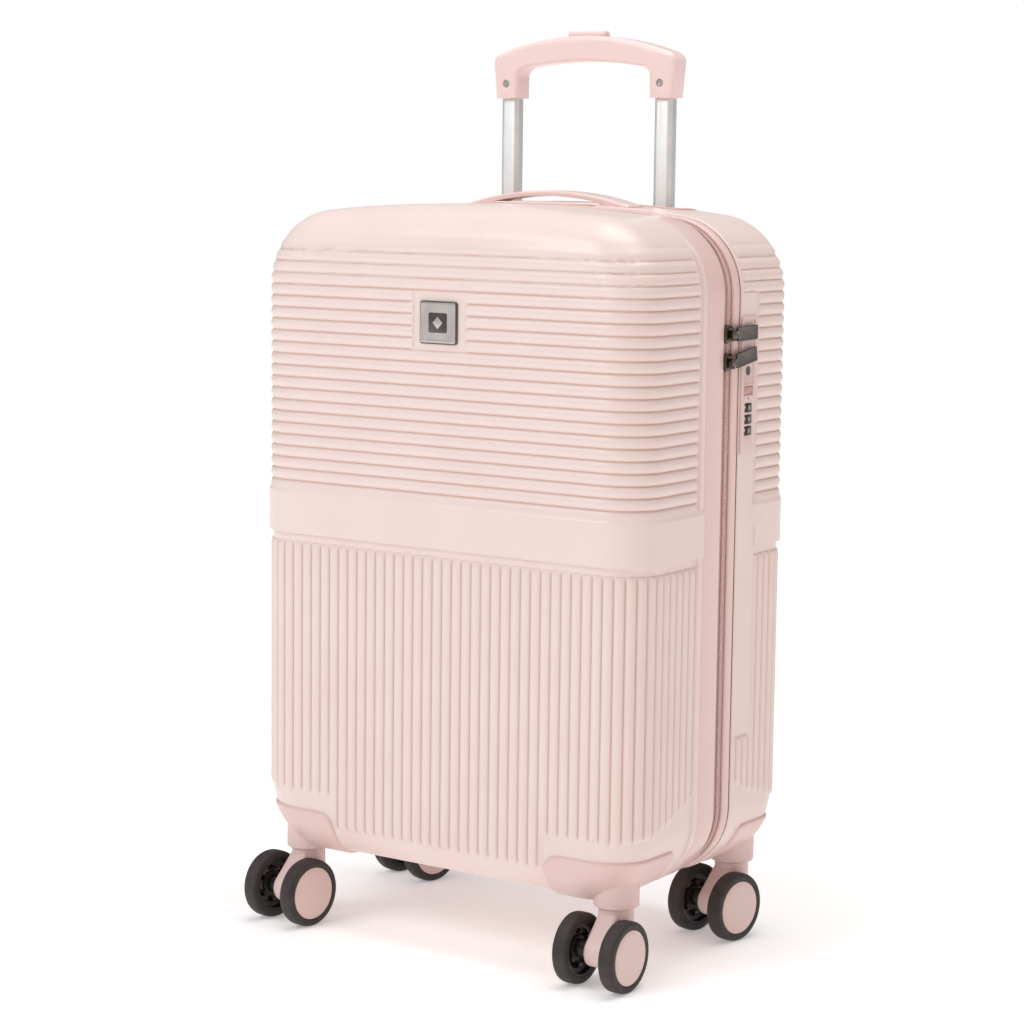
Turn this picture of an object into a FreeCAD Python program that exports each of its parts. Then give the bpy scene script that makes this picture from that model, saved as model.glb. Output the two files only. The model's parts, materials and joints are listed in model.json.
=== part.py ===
import FreeCAD, Part
import math
import os
from FreeCAD import Vector

# Hard shell cabin suitcase on four twin-wheel casters, millimetres, +Z up.
# The front of the case faces -Y and its right side, with zip pulls and lock, faces +X.
# Shapes are built about the middle of the case. save() then moves them along Y, so that
# the origin is at the middle of the footprint, on the floor, with the casters at rest.

# ---- driving dimensions: case ----------------------------------------------------------
CASE_W = 355.0          # outside width across the ribs
CASE_D = 229.0          # outside depth, front face to back face
CASE_H = 510.0          # height of the shells
CORNER_R = 58.0         # corners as seen from the front
EDGE_R = 34.0           # rounding from the front or back face to the sides
CROWN_R = 1200.0        # gentle arch of the top
WALL = 2.0              # moulded wall of both shells
BAND_RISE = 254.5       # underside of the shells to the underside of the waist band
BAND_H = 31.5
BAND_PROUD = 1.2        # how far the band stands out
PANEL_MARGIN = 4.0      # smooth panel behind the lock's face plate
BADGE_DROP = 87.0       # top of the shells to the middle of the badge
BADGE_W = 32.0
BADGE_H = 30.0
BADGE_T = 1.8
BADGE_RECESS_W = 44.0
BADGE_RECESS_H = 37.0
BADGE_RECESS = 1.0
BADGE_RECESS_R = 4.0
BADGE_CORNER_R = 1.5

# ---- closure ---------------------------------------------------------------------------
ZIP_Y = 8.3             # plane where the two rows of teeth meet
ZIP_GAP = 1.2           # slot between the two tapes that a slider's post runs in
RIM_INSET = 1.0         # rim strips lie this far below the ribs
RIM_T = 2.4
FRONT_RIM_W = 26.5
REAR_RIM_W = 9.5
CHANNEL_W = 12.5        # open channel between the rims, where the zip lies
TAPE_T = 1.2
TAPE_TUCK = 5.5         # tape tucked under each rim
HINGE_FROM_TOP = 128.0  # fabric hinge on the left side, from the top of the shells
HINGE_FROM_LOW = 132.0  # and from their underside
LINING_T = 1.0
LINING_GAP = 1.0
LINING_EDGE = 3.0       # lining stops this far inside the shell's edge

# ---- lock ------------------------------------------------------------------------------
LOCK_DROP = 80.0        # top of the shells to the top of the face plate
LOCK_H = 104.0
LOCK_PLATE = 1.2        # face plate above the shell
LOCK_WALL = 0.9         # sides of the body beside the dials
LOCK_BACK = 1.6         # back of the body behind the dials
LOCK_LIP = 1.55         # how far the face plate covers the sides of the body
LOCK_FLANGE = 3.0       # how far it covers the ends of the body
LOCK_CORNER_R = 2.0
LOCK_RECESS = 0.8       # recessed panel round the key plug
LOCK_RECESS_W = 14.0
PULL_SEAT = 0.9         # recess that the pulls lie over
PULL_SEAT_W = 16.0
DIAL_R = 8.0
DIAL_T = 6.2
DIAL_PITCH = 8.6
DIAL_UP = 26.4          # bottom of the face plate to the middle dial
DIAL_PROUD = 0.8
DIAL_SHAFT_R = 1.5
DIAL_WINDOW = 11.2
DIAL_WINDOW_DEEP = 2.2
DIAL_GRIPS = 10         # finger grooves, one for each number
DIAL_GRIP_R = 0.45
KEY_R = 3.5
KEY_L = 10.0
KEY_UP = 62.7           # bottom of the face plate to the key plug
KEY_SLOT_W = 0.9
KEY_SLOT_L = 4.8
BUTTON_UP = 49.0        # bottom of the face plate to the release button
RESET_HOLE_R = 1.0
RESET_UP = 42.7
LOCK_BUTTON_W = 12.8
LOCK_BUTTON_H = 4.0
LOCK_BUTTON_TRAVEL = 2.5

# ---- zip sliders and pulls -------------------------------------------------------------
SLIDER_DROP = (13.0, 33.6)  # top of the lock's face plate to each slider
SLIDER_W = 10.0
SLIDER_L = 13.0
SLIDER_T = 2.4
SLIDER_POST = 0.6
SLIDER_BACK_T = 1.2
SLIDER_CORNER_R = 3.0
LUG_T = 1.6
LUG_R = 1.5
PULL_L = 34.0
PULL_W = 11.0
PULL_T = 1.6
PULL_TILT = (1.0, 9.0)  # degrees that each pull hangs askew
PULL_PIN_R = 0.9
PULL_EYE_R = 1.9
PULL_LIFT = 1.3         # pull above the face plate of the lock

# ---- casters ---------------------------------------------------------------------------
CASTER_FROM_SIDE = 32.2 # swivel axis from the side, and from the front or back face
CASTER_FROM_FACE = 30.0
CASTER_YAW = {"front_left": -6.0, "front_right": 0.0, "rear_left": -13.0, "rear_right": -9.5}
WHEEL_R = 26.6
WHEEL_W = 12.5
WHEEL_GAP = 27.5        # between the two wheels of a pair
TRAIL = 20.6
WHEEL_ROOM = 4.4        # wheel top to the boss above it
CAP_DOME = 1.2
CAP_SEAT = 10.5         # inner face of the wheel to the back of its cap
CAP_SKIRT = 3.0
CAP_WALL = 1.2
TYRE_T = 5.6
TYRE_EDGE = 1.6
HUB_R = 7.0
HUB_END = 10.0
WEB_X0 = 5.0            # web of the wheel, from its inner face
WEB_T = 2.5
WEB_HOLES = 6
WEB_RIM = 3.4           # web left above and below each hole
AXLE_R = 3.0
AXLE_SHORT = 0.5        # axle stops short of the hub's end
FORK_T = 17.0
FORK_NOSE_R = 11.5
FORK_EDGE = 2.5
COLLAR_H = 18.7
COLLAR_ROOM = 0.55      # collar to the wheel on each side
BOSS_R = 17.0
BOSS_DROP = 0.4         # boss below the underside of the shells
BOSS_CHAMFER = 2.0
KINGPIN_R = 4.0
KINGPIN_UP = 4.4        # kingpin into the boss
KINGPIN_DOWN = 12.5     # and below its underside
GUARD_T = 1.4           # corner guard skin over the shell
GUARD_H = 37.0          # above the underside of the shells
GUARD_RUN_X = 79.5      # how far it runs from the side across the front or back
GUARD_RUN_Y = 68.0      # how far it runs along the side from the face
GUARD_CORNER_R = 14.0

# ---- telescopic handle -----------------------------------------------------------------
HANDLE_X = 72.0         # tubes either side of the middle
HANDLE_FROM_BACK = 31.2 # middle of the tubes to the back face
TUBE_W = 16.5           # top stage
TUBE_D = 11.5
TUBE_WALL = 1.1
TUBE_CORNER = 4.5
STAGE_CLEAR = 0.4
STOW = 130.0            # travel from the drawn place, part way out, down to stowed
STOW_LIFT = 3.5         # stowed grip above the floor of its well
GRIP_WALL_IN = 2.0      # grip's leg outside the tube, towards the hand opening
GRIP_WALL_OUT = 2.25    # and away from it, at the foot
GRIP_FLARE = 3.0        # shoulder wider than the foot
GRIP_WALL_Y = 4.25      # grip outside the tube, front and back
GRIP_SIDE_H = 33.0      # leg height at the shoulder
GRIP_TOP_H = 48.5       # height in the middle
GRIP_OPEN_H = 28.5      # hand opening height in the middle
GRIP_OPEN_SIDE_H = 23.0
GRIP_INNER_R = 9.0
GRIP_FILLET = 3.5
GRIP_SOCKET = 24.0
GRIP_SCREW_H = 11.5
GRIP_SHOULDER_R = 8.0
GRIP_SCREW_R = 3.2
GRIP_SCREW_HEAD = 1.2
GRIP_SCREW_SINK = 1.0
GRIP_SCREW_CORE_R = 1.5
SCREW_CROSS = 2.0       # arm and half width of the cross recess
SCREW_CROSS_W = 0.45
SCREW_CROSS_DEEP = 0.8
GRIP_BUTTON_L = 35.0
GRIP_BUTTON_W = 10.0
GRIP_BUTTON_H = 3.6
GRIP_BUTTON_TRAVEL = 3.0
GRIP_BUTTON_SINK = 5.4  # button inside the grip
GRIP_BUTTON_CORNER_R = 3.0
GRIP_BUTTON_EDGE = 1.5
INNER_LENGTH = 330.0
MIDDLE_LENGTH = 300.0
MIDDLE_SINK = 1.0       # middle stage below the floor of the well
WELL_DEPTH = 52.0       # well that the grip stows in, below the top of the shells
WELL_ROOM_X = 5.5       # room round the grip
WELL_ROOM_Y = 3.0
WELL_T = 2.0
WELL_CORNER_R = 5.0
WELL_FLANGE = 5.0
WELL_PROUD = 1.0
BASE_H = 28.0           # base block above the underside of the shells
BASE_FLOOR = 12.0
BASE_WALL_X = 6.0
BASE_WALL_Y = 4.0
SOCKET_DEPTH = 14.0

# ---- carry handle ----------------------------------------------------------------------
CARRY_ROOM = 1.45       # rear rim strip to the finger pocket
CARRY_L = 148.0
CARRY_D = 22.0
CARRY_RISE = 9.5        # top of the strap above the crown
CARRY_T = 4.2
CARRY_POCKET_L = 96.0
CARRY_POCKET_D = 27.0
CARRY_POCKET_H = 16.0
CARRY_POCKET_R = 6.0
CARRY_FOOT = 2.0        # pocket's end to the start of the strap's bow
CARRY_EDGE = 1.8

# ---- clearances ------------------------------------------------------------------------
FREE = 0.4              # between pieces that move past each other
RUNNING = 0.08          # radial, round pins and axles
SNUG = 0.1              # between fixed pieces that slip together
OVER = 5.0              # how far a cutting block runs past what it cuts

# ---- worked out from the above ---------------------------------------------------------
HALF_W = CASE_W / 2
HALF_D = CASE_D / 2
BOSS_Z = 2 * WHEEL_R + WHEEL_ROOM
GROUND = BOSS_Z + BOSS_DROP
TOP = GROUND + CASE_H
BAND_Z0 = GROUND + BAND_RISE
BAND_Z1 = BAND_Z0 + BAND_H
BADGE_Z = TOP - BADGE_DROP
HINGE_Z1 = TOP - HINGE_FROM_TOP
HINGE_Z0 = GROUND + HINGE_FROM_LOW
FRONT_RIM_Y1 = ZIP_Y - CHANNEL_W / 2
FRONT_RIM_Y0 = FRONT_RIM_Y1 - FRONT_RIM_W
REAR_RIM_Y0 = ZIP_Y + CHANNEL_W / 2
REAR_RIM_Y1 = REAR_RIM_Y0 + REAR_RIM_W
TAPE_INSET = RIM_INSET + RIM_T
LOCK_BODY_W = 2 * (DIAL_R + FREE + LOCK_WALL)
LOCK_BODY_D = 2 * DIAL_R + FREE + LOCK_BACK - LOCK_PLATE - DIAL_PROUD
LOCK_W = LOCK_BODY_W + 2 * LOCK_LIP
LOCK_Y = REAR_RIM_Y1 + FREE + LOCK_W / 2
LOCK_Z1 = TOP - LOCK_DROP
LOCK_Z0 = LOCK_Z1 - LOCK_H
PLATE_X = HALF_W + LOCK_PLATE
DIAL_X = PLATE_X + DIAL_PROUD - DIAL_R
DIAL_Z = LOCK_Z0 + DIAL_UP
KEY_Z = LOCK_Z0 + KEY_UP
BUTTON_Z = LOCK_Z0 + BUTTON_UP
SLIDER_Z = [LOCK_Z1 - drop for drop in SLIDER_DROP]
PULL_X0 = PLATE_X + PULL_LIFT
PULL_X = PULL_X0 + PULL_T / 2 - 0.2
MIDDLE_W = TUBE_W + 2 * (STAGE_CLEAR + TUBE_WALL)
MIDDLE_D = TUBE_D + 2 * (STAGE_CLEAR + TUBE_WALL)
OUTER_W = MIDDLE_W + 2 * (STAGE_CLEAR + TUBE_WALL)
OUTER_D = MIDDLE_D + 2 * (STAGE_CLEAR + TUBE_WALL)
HANDLE_Y = HALF_D - HANDLE_FROM_BACK
WELL_FLOOR = TOP - WELL_DEPTH
MIDDLE_TOP = WELL_FLOOR - MIDDLE_SINK
GRIP_Z = WELL_FLOOR + STOW_LIFT + STOW
GRIP_INNER_X = HANDLE_X - TUBE_W / 2 - GRIP_WALL_IN
GRIP_FOOT_X = HANDLE_X + TUBE_W / 2 + GRIP_WALL_OUT
GRIP_SHOULDER_X = GRIP_FOOT_X + GRIP_FLARE
GRIP_D = TUBE_D + 2 * GRIP_WALL_Y
WELL_X = GRIP_SHOULDER_X + WELL_ROOM_X
WELL_D = GRIP_D + 2 * WELL_ROOM_Y
BASE_TOP = GROUND + BASE_H
BASE_X = HANDLE_X + OUTER_W / 2 + BASE_WALL_X
CARRY_Y = REAR_RIM_Y1 + CARRY_ROOM + CARRY_POCKET_D / 2
CASTER_X = HALF_W - CASTER_FROM_SIDE
CASTER_Y = HALF_D - CASTER_FROM_FACE
GUARD_TOP = GROUND + GUARD_H
GUARD_X = HALF_W - GUARD_RUN_X
FORK_TOP = BOSS_Z - FREE
COLLAR_R = WHEEL_GAP / 2 - COLLAR_ROOM
COLLAR_Z0 = FORK_TOP - COLLAR_H
KINGPIN_Z0 = BOSS_Z - KINGPIN_DOWN
TYRE_R0 = WHEEL_R - TYRE_T
CAP_R = TYRE_R0 - FREE
WHEEL_REACH = CASTER_Y + TRAIL + WHEEL_R
CASE_SHIFT = (WHEEL_REACH - HALF_D) / 2

os.makedirs("parts", exist_ok=True)


def save(name, *shapes):
    """Move the shapes of one node to the part's frame and write them as one STEP file."""
    moved = [shape.translated(Vector(0, CASE_SHIFT, 0)) for shape in shapes]
    result = moved[0] if len(moved) == 1 else Part.makeCompound(moved)
    if not result.isValid():
        raise ValueError("not a valid solid: " + name)
    result.exportStep("parts/" + name + ".step")
    print(name, len(result.Solids), "solid", round(result.Volume / 1000, 2), "cm3")


# ---- outlines of the case --------------------------------------------------------------
def corner_centre_z():
    """Height of the centre of the top corners' arcs, which run into the crown."""
    across = HALF_W - CORNER_R
    return TOP - CROWN_R + math.sqrt((CROWN_R - CORNER_R) ** 2 - across ** 2)


def case_face(inset, y):
    """The case's outline, inset evenly, as a face in the plane y."""
    r = CORNER_R - inset
    cx = HALF_W - CORNER_R
    low = GROUND + CORNER_R
    high = corner_centre_z()
    lean = math.atan2(high - (TOP - CROWN_R), cx)
    half = math.radians(45)

    def at(x, z, radius, angle):
        return Vector(x + radius * math.cos(angle), y, z + radius * math.sin(angle))

    right_top = at(cx, high, r, lean)
    left_top = at(-cx, high, r, math.pi - lean)
    bottom = [at(-cx, low, r, -2 * half), at(cx, low, r, -2 * half)]
    right = [at(cx, low, r, 0), at(cx, high, r, 0)]
    left = [at(-cx, high, r, math.pi), at(-cx, low, r, math.pi)]
    edges = [
        Part.makeLine(bottom[0], bottom[1]),
        Part.Arc(bottom[1], at(cx, low, r, -half), right[0]).toShape(),
        Part.makeLine(right[0], right[1]),
        Part.Arc(right[1], at(cx, high, r, lean / 2), right_top).toShape(),
        Part.Arc(right_top, Vector(0, y, TOP - inset), left_top).toShape(),
        Part.Arc(left_top, at(-cx, high, r, math.pi - lean / 2), left[0]).toShape(),
        Part.makeLine(left[0], left[1]),
        Part.Arc(left[1], at(-cx, low, r, math.pi + half), bottom[0]).toShape(),
    ]
    return Part.Face(Part.Wire(edges))


def case_block(inset, y0, y1):
    return case_face(inset, y0).extrude(Vector(0, y1 - y0, 0))


def case_tub(inset, side, y_open):
    """Block from the open plane to the front (side -1) or back (side 1) face, edge rounded."""
    y_face = side * (HALF_D - inset)
    block = case_block(inset, y_face, y_open)
    on_face = [e for e in block.Edges
               if abs(e.BoundBox.YMin - y_face) < 1e-4 and abs(e.BoundBox.YMax - y_face) < 1e-4]
    return block.makeFillet(EDGE_R - inset, on_face)


def case_ring(outer, thickness, y0, y1):
    return case_block(outer, y0, y1).cut(case_block(outer + thickness, y0 - 1, y1 + 1))


def box(x0, x1, y0, y1, z0, z1):
    return Part.makeBox(x1 - x0, y1 - y0, z1 - z0, Vector(x0, y0, z0))


def rounded_box(x0, x1, y0, y1, z0, z1, radius, along):
    """Box with its four edges along one axis, 'X', 'Y' or 'Z', rounded."""
    shape = box(x0, x1, y0, y1, z0, z1)
    axis = {"X": Vector(1, 0, 0), "Y": Vector(0, 1, 0), "Z": Vector(0, 0, 1)}[along]
    edges = [e for e in shape.Edges if abs(e.tangentAt(e.FirstParameter).dot(axis)) > 0.99]
    return shape.makeFillet(radius, edges)


def rod(radius, length, base, direction):
    return Part.makeCylinder(radius, length, base, direction)


X_AXIS = Vector(1, 0, 0)
Y_AXIS = Vector(0, 1, 0)
Z_AXIS = Vector(0, 0, 1)


# ---- shells ----------------------------------------------------------------------------
def shell_outside(side, y_open):
    """Solid outside form of one half, with the raised waist band."""
    body = case_tub(0, side, y_open)
    band = case_tub(-BAND_PROUD, side, y_open).common(
        box(-CASE_W, CASE_W, -CASE_D, CASE_D, BAND_Z0, BAND_Z1))
    return body.fuse(band)


def front_shell():
    outside = shell_outside(-1, FRONT_RIM_Y0)
    inside = case_tub(WALL, -1, FRONT_RIM_Y0 + 1)
    recess = rounded_box(-BADGE_RECESS_W / 2, BADGE_RECESS_W / 2, -CASE_D, -HALF_D + BADGE_RECESS,
                         BADGE_Z - BADGE_RECESS_H / 2, BADGE_Z + BADGE_RECESS_H / 2,
                         BADGE_RECESS_R, "Y")
    return outside.cut(inside).cut(recess)


def carry_pocket(grow):
    """Finger pocket in the top, below the carry handle."""
    x = CARRY_POCKET_L / 2 + grow
    d = CARRY_POCKET_D / 2 + grow
    return rounded_box(-x, x, CARRY_Y - d, CARRY_Y + d,
                       TOP - CARRY_POCKET_H - grow, TOP + OVER, CARRY_POCKET_R + grow, "Z")


def well_block(grow, z0, z1):
    """Upright block of the grip's well, grown outwards."""
    d = WELL_D / 2 + grow
    return rounded_box(-WELL_X - grow, WELL_X + grow, HANDLE_Y - d, HANDLE_Y + d,
                       z0, z1, WELL_CORNER_R + grow, "Z")


def lock_opening(grow):
    z0 = LOCK_Z0 + LOCK_FLANGE - grow
    z1 = LOCK_Z1 - LOCK_FLANGE + grow
    half = LOCK_BODY_W / 2 + grow
    return box(HALF_W - LOCK_BODY_D, HALF_W + OVER, LOCK_Y - half, LOCK_Y + half, z0, z1)


def rear_shell():
    outside = shell_outside(1, REAR_RIM_Y1).cut(carry_pocket(0))
    inside = case_tub(WALL, 1, REAR_RIM_Y1 - 1).cut(carry_pocket(WALL))
    shell = outside.cut(inside)
    shell = shell.cut(well_block(WELL_T + SNUG, WELL_FLOOR, TOP + OVER))
    panel = box(HALF_W, HALF_W + OVER, REAR_RIM_Y1 - 1, LOCK_Y + LOCK_W / 2 + PANEL_MARGIN,
                BAND_Z0 - 1, BAND_Z1 + 1)
    return shell.cut(lock_opening(SNUG)).cut(panel)


save("front_shell", front_shell())
save("rear_shell", rear_shell())
save("front_rim", case_ring(RIM_INSET, RIM_T, FRONT_RIM_Y0, FRONT_RIM_Y1))
save("rear_rim", case_ring(RIM_INSET, RIM_T, REAR_RIM_Y0, REAR_RIM_Y1))

# ---- zip tapes and fabric hinge --------------------------------------------------------
hinge_gap = box(-CASE_W, -HALF_W + CORNER_R / 2, -CASE_D, CASE_D, HINGE_Z0 - FREE, HINGE_Z1 + FREE)
front_tape = case_ring(TAPE_INSET, TAPE_T, FRONT_RIM_Y1 - TAPE_TUCK, ZIP_Y - ZIP_GAP / 2)
rear_tape = case_ring(TAPE_INSET, TAPE_T, ZIP_Y + ZIP_GAP / 2, REAR_RIM_Y0 + TAPE_TUCK)
save("front_zip_tape", front_tape.cut(hinge_gap))
save("rear_zip_tape", rear_tape.cut(hinge_gap))
save("hinge_tape", box(-HALF_W + TAPE_INSET, -HALF_W + TAPE_INSET + TAPE_T,
                       FRONT_RIM_Y1 + FREE, REAR_RIM_Y0 + TAPE_TUCK, HINGE_Z0, HINGE_Z1))


# ---- linings ---------------------------------------------------------------------------
def front_lining():
    inset = WALL + LINING_GAP
    y_open = FRONT_RIM_Y0 - LINING_EDGE
    return case_tub(inset, -1, y_open).cut(case_tub(inset + LINING_T, -1, y_open + 1))


def lining_bulges(grow):
    """Solids that the rear lining goes round: tubes, base, well, finger pocket and lock."""
    back = CASE_D
    gap = LINING_GAP + grow
    front = HANDLE_Y - OUTER_D / 2 - gap
    well_front = HANDLE_Y - WELL_D / 2 - WELL_T - gap
    shapes = []
    for x in (-HANDLE_X, HANDLE_X):
        half = OUTER_W / 2 + gap
        shapes.append(box(x - half, x + half, front, back, 0, WELL_FLOOR))
    base_half = BASE_X + gap
    shapes.append(box(-base_half, base_half, front - BASE_WALL_Y, back, 0, BASE_TOP + gap))
    well_half = WELL_X + WELL_T + gap
    shapes.append(box(-well_half, well_half, well_front, back, WELL_FLOOR - WELL_T - gap, TOP + OVER))
    shapes.append(carry_pocket(WALL + gap))
    edge = CARRY_Y - CARRY_POCKET_D / 2
    x = CARRY_POCKET_L / 2 + WALL + gap
    shapes.append(box(-x, x, 0, edge, TOP - CARRY_POCKET_H - WALL - gap, TOP + OVER))
    lock_half = LOCK_BODY_W / 2 + gap
    shapes.append(box(HALF_W - LOCK_BODY_D - gap, HALF_W, 0, LOCK_Y + lock_half,
                      LOCK_Z0 + LOCK_FLANGE - gap, LOCK_Z1 - LOCK_FLANGE + gap))
    bulge = shapes[0]
    for shape in shapes[1:]:
        bulge = bulge.fuse(shape)
    return bulge


def rear_lining():
    inset = WALL + LINING_GAP
    y_open = REAR_RIM_Y1 + LINING_EDGE
    outside = case_tub(inset, 1, y_open).cut(lining_bulges(0))
    inside = case_tub(inset + LINING_T, 1, y_open - 1).cut(lining_bulges(LINING_T))
    return outside.cut(inside)


save("front_lining", front_lining())
save("rear_lining", rear_lining())

# ---- badge -----------------------------------------------------------------------------
badge_y = -HALF_D + BADGE_RECESS
save("badge", rounded_box(-BADGE_W / 2, BADGE_W / 2, badge_y - BADGE_T, badge_y,
                          BADGE_Z - BADGE_H / 2, BADGE_Z + BADGE_H / 2, BADGE_CORNER_R, "Y"))


# ---- lock ------------------------------------------------------------------------------
def dial_heights():
    return [DIAL_Z + step * DIAL_PITCH for step in (1, 0, -1)]


def lock_housing():
    plate = rounded_box(HALF_W, PLATE_X, LOCK_Y - LOCK_W / 2, LOCK_Y + LOCK_W / 2,
                        LOCK_Z0, LOCK_Z1, LOCK_CORNER_R, "X")
    body = plate.fuse(lock_opening(0).common(box(0, HALF_W, -CASE_D, CASE_D, 0, TOP)))
    half = DIAL_WINDOW / 2
    for z in dial_heights():
        low = z - DIAL_T / 2 - FREE
        tall = DIAL_T + 2 * FREE
        body = body.cut(rod(DIAL_R + FREE, tall, Vector(DIAL_X, LOCK_Y, low), Z_AXIS))
        body = body.cut(box(PLATE_X - DIAL_WINDOW_DEEP, PLATE_X + OVER, LOCK_Y - half, LOCK_Y + half,
                            low, low + tall))
    stack = 2 * DIAL_PITCH + DIAL_T + 2
    body = body.fuse(rod(DIAL_SHAFT_R, stack, Vector(DIAL_X, LOCK_Y, DIAL_Z - stack / 2), Z_AXIS))
    # recessed panel and bore of the key plug
    wide = LOCK_RECESS_W / 2
    body = body.cut(box(PLATE_X - LOCK_RECESS, PLATE_X + OVER, LOCK_Y - wide, LOCK_Y + wide,
                        KEY_Z - 10, KEY_Z + 9))
    body = body.cut(rod(KEY_R + RUNNING, KEY_L + 1, Vector(PLATE_X - KEY_L, LOCK_Y, KEY_Z), X_AXIS))
    # slot of the release button
    wide = LOCK_BUTTON_W / 2 + FREE
    top = BUTTON_Z + LOCK_BUTTON_H / 2 + FREE
    body = body.cut(box(PLATE_X - 2, PLATE_X + OVER, LOCK_Y - wide, LOCK_Y + wide,
                        top - LOCK_BUTTON_H - LOCK_BUTTON_TRAVEL - 2 * FREE, top))
    # hole of the reset pin and the shallow seat for the two pulls
    body = body.cut(rod(RESET_HOLE_R, OVER, Vector(PLATE_X - 1.5, LOCK_Y, LOCK_Z0 + RESET_UP), X_AXIS))
    wide = PULL_SEAT_W / 2
    return body.cut(box(PLATE_X - PULL_SEAT, PLATE_X + OVER, LOCK_Y - wide, LOCK_Y + wide,
                        KEY_Z + 12, LOCK_Z1 - LOCK_FLANGE))


save("lock_housing", lock_housing())
for number, height in enumerate(dial_heights(), start=1):
    wheel = rod(DIAL_R, DIAL_T, Vector(DIAL_X, LOCK_Y, height - DIAL_T / 2), Z_AXIS)
    low = Vector(DIAL_X, LOCK_Y, height - DIAL_T / 2 - 1)
    bore = rod(DIAL_SHAFT_R + RUNNING, DIAL_T + 2, low, Z_AXIS)
    wheel = wheel.cut(bore)
    for step in range(DIAL_GRIPS):
        angle = math.radians(360 / DIAL_GRIPS * (step + 0.5))
        x = DIAL_X + DIAL_R * math.cos(angle)
        spot = Vector(x, LOCK_Y + DIAL_R * math.sin(angle), height - DIAL_T)
        wheel = wheel.cut(rod(DIAL_GRIP_R, 2 * DIAL_T, spot, Z_AXIS))
    save("lock_dial_%d" % number, wheel)

key_face = PLATE_X - LOCK_RECESS
plug_l = KEY_L - LOCK_RECESS - FREE
plug = rod(KEY_R, plug_l, Vector(key_face - plug_l, LOCK_Y, KEY_Z), X_AXIS)
key_slot = box(key_face - 3, key_face + 1, LOCK_Y - KEY_SLOT_W / 2, LOCK_Y + KEY_SLOT_W / 2,
               KEY_Z - KEY_SLOT_L / 2, KEY_Z + KEY_SLOT_L / 2)
save("key_cylinder", plug.cut(key_slot))
save("lock_release_button", rounded_box(
    PLATE_X - 1.6, PLATE_X - 0.2, LOCK_Y - LOCK_BUTTON_W / 2, LOCK_Y + LOCK_BUTTON_W / 2,
    BUTTON_Z - LOCK_BUTTON_H / 2, BUTTON_Z + LOCK_BUTTON_H / 2, 0.8, "X"))


# ---- zip sliders and pulls -------------------------------------------------------------
def zip_slider(z):
    """Two plates either side of the tapes, a post between them, and the pull's pin on lugs."""
    outer_x = HALF_W - TAPE_INSET + FREE
    inner_x = HALF_W - TAPE_INSET - TAPE_T - FREE
    half_w = SLIDER_W / 2
    half_l = SLIDER_L / 2
    top = rounded_box(outer_x, outer_x + SLIDER_T, ZIP_Y - half_w, ZIP_Y + half_w,
                      z - half_l, z + half_l, SLIDER_CORNER_R, "X")
    low = rounded_box(inner_x - SLIDER_BACK_T, inner_x, ZIP_Y - half_w, ZIP_Y + half_w,
                      z - half_l, z + half_l, SLIDER_CORNER_R, "X")
    half_post = SLIDER_POST / 2
    post = box(inner_x - 1, outer_x + 1, ZIP_Y - half_post, ZIP_Y + half_post, z - 4, z + 4)
    slider = top.fuse([low, post])
    lug_z = PULL_W / 4 + FREE
    for side in (-1, 1):
        z0 = z + side * (lug_z + LUG_T / 2) - LUG_T / 2
        lug = box(outer_x + SLIDER_T - 0.5, PULL_X, ZIP_Y - LUG_R, ZIP_Y + LUG_R, z0, z0 + LUG_T)
        slider = slider.fuse([lug, rod(LUG_R, LUG_T, Vector(PULL_X, ZIP_Y, z0), Z_AXIS)])
    pin = rod(PULL_PIN_R, 2 * lug_z + 1, Vector(PULL_X, ZIP_Y, z - lug_z - 0.5), Z_AXIS)
    return slider.fuse(pin)


def zip_pull(z, tilt):
    """Flat tab, hanging a little askew, with an eye that turns on the slider's pin."""
    eye_h = PULL_W / 2
    eye = rod(PULL_EYE_R, eye_h, Vector(PULL_X, ZIP_Y, z - eye_h / 2), Z_AXIS)
    neck = box(PULL_X0, PULL_X0 + PULL_T, ZIP_Y, ZIP_Y + 6, z - eye_h / 2, z + eye_h / 2)
    tab = rounded_box(PULL_X0, PULL_X0 + PULL_T, ZIP_Y + 4.5, ZIP_Y + PULL_L,
                      z - PULL_W / 2, z + PULL_W / 2, 1.5, "X")
    tab.rotate(Vector(PULL_X, ZIP_Y, z), X_AXIS, tilt)
    pull = eye.fuse([neck, tab])
    return pull.cut(rod(PULL_PIN_R + RUNNING, 2 * PULL_W, Vector(PULL_X, ZIP_Y, z - PULL_W), Z_AXIS))


for place, height, tilt in zip(("upper", "lower"), SLIDER_Z, PULL_TILT):
    save("zip_slider_" + place, zip_slider(height))
    save("zip_pull_" + place, zip_pull(height, tilt))


# ---- telescopic handle -----------------------------------------------------------------
def handle_tube(side, width, depth, corner, z0, z1, solid=False):
    x = side * HANDLE_X
    y = HANDLE_Y
    outer = rounded_box(x - width / 2, x + width / 2, y - depth / 2, y + depth / 2, z0, z1, corner, "Z")
    if solid:
        return outer
    w = width / 2 - TUBE_WALL
    d = depth / 2 - TUBE_WALL
    bore = rounded_box(x - w, x + w, y - d, y + d, z0 - 1, z1 + 1, corner - TUBE_WALL, "Z")
    return outer.cut(bore)


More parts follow.
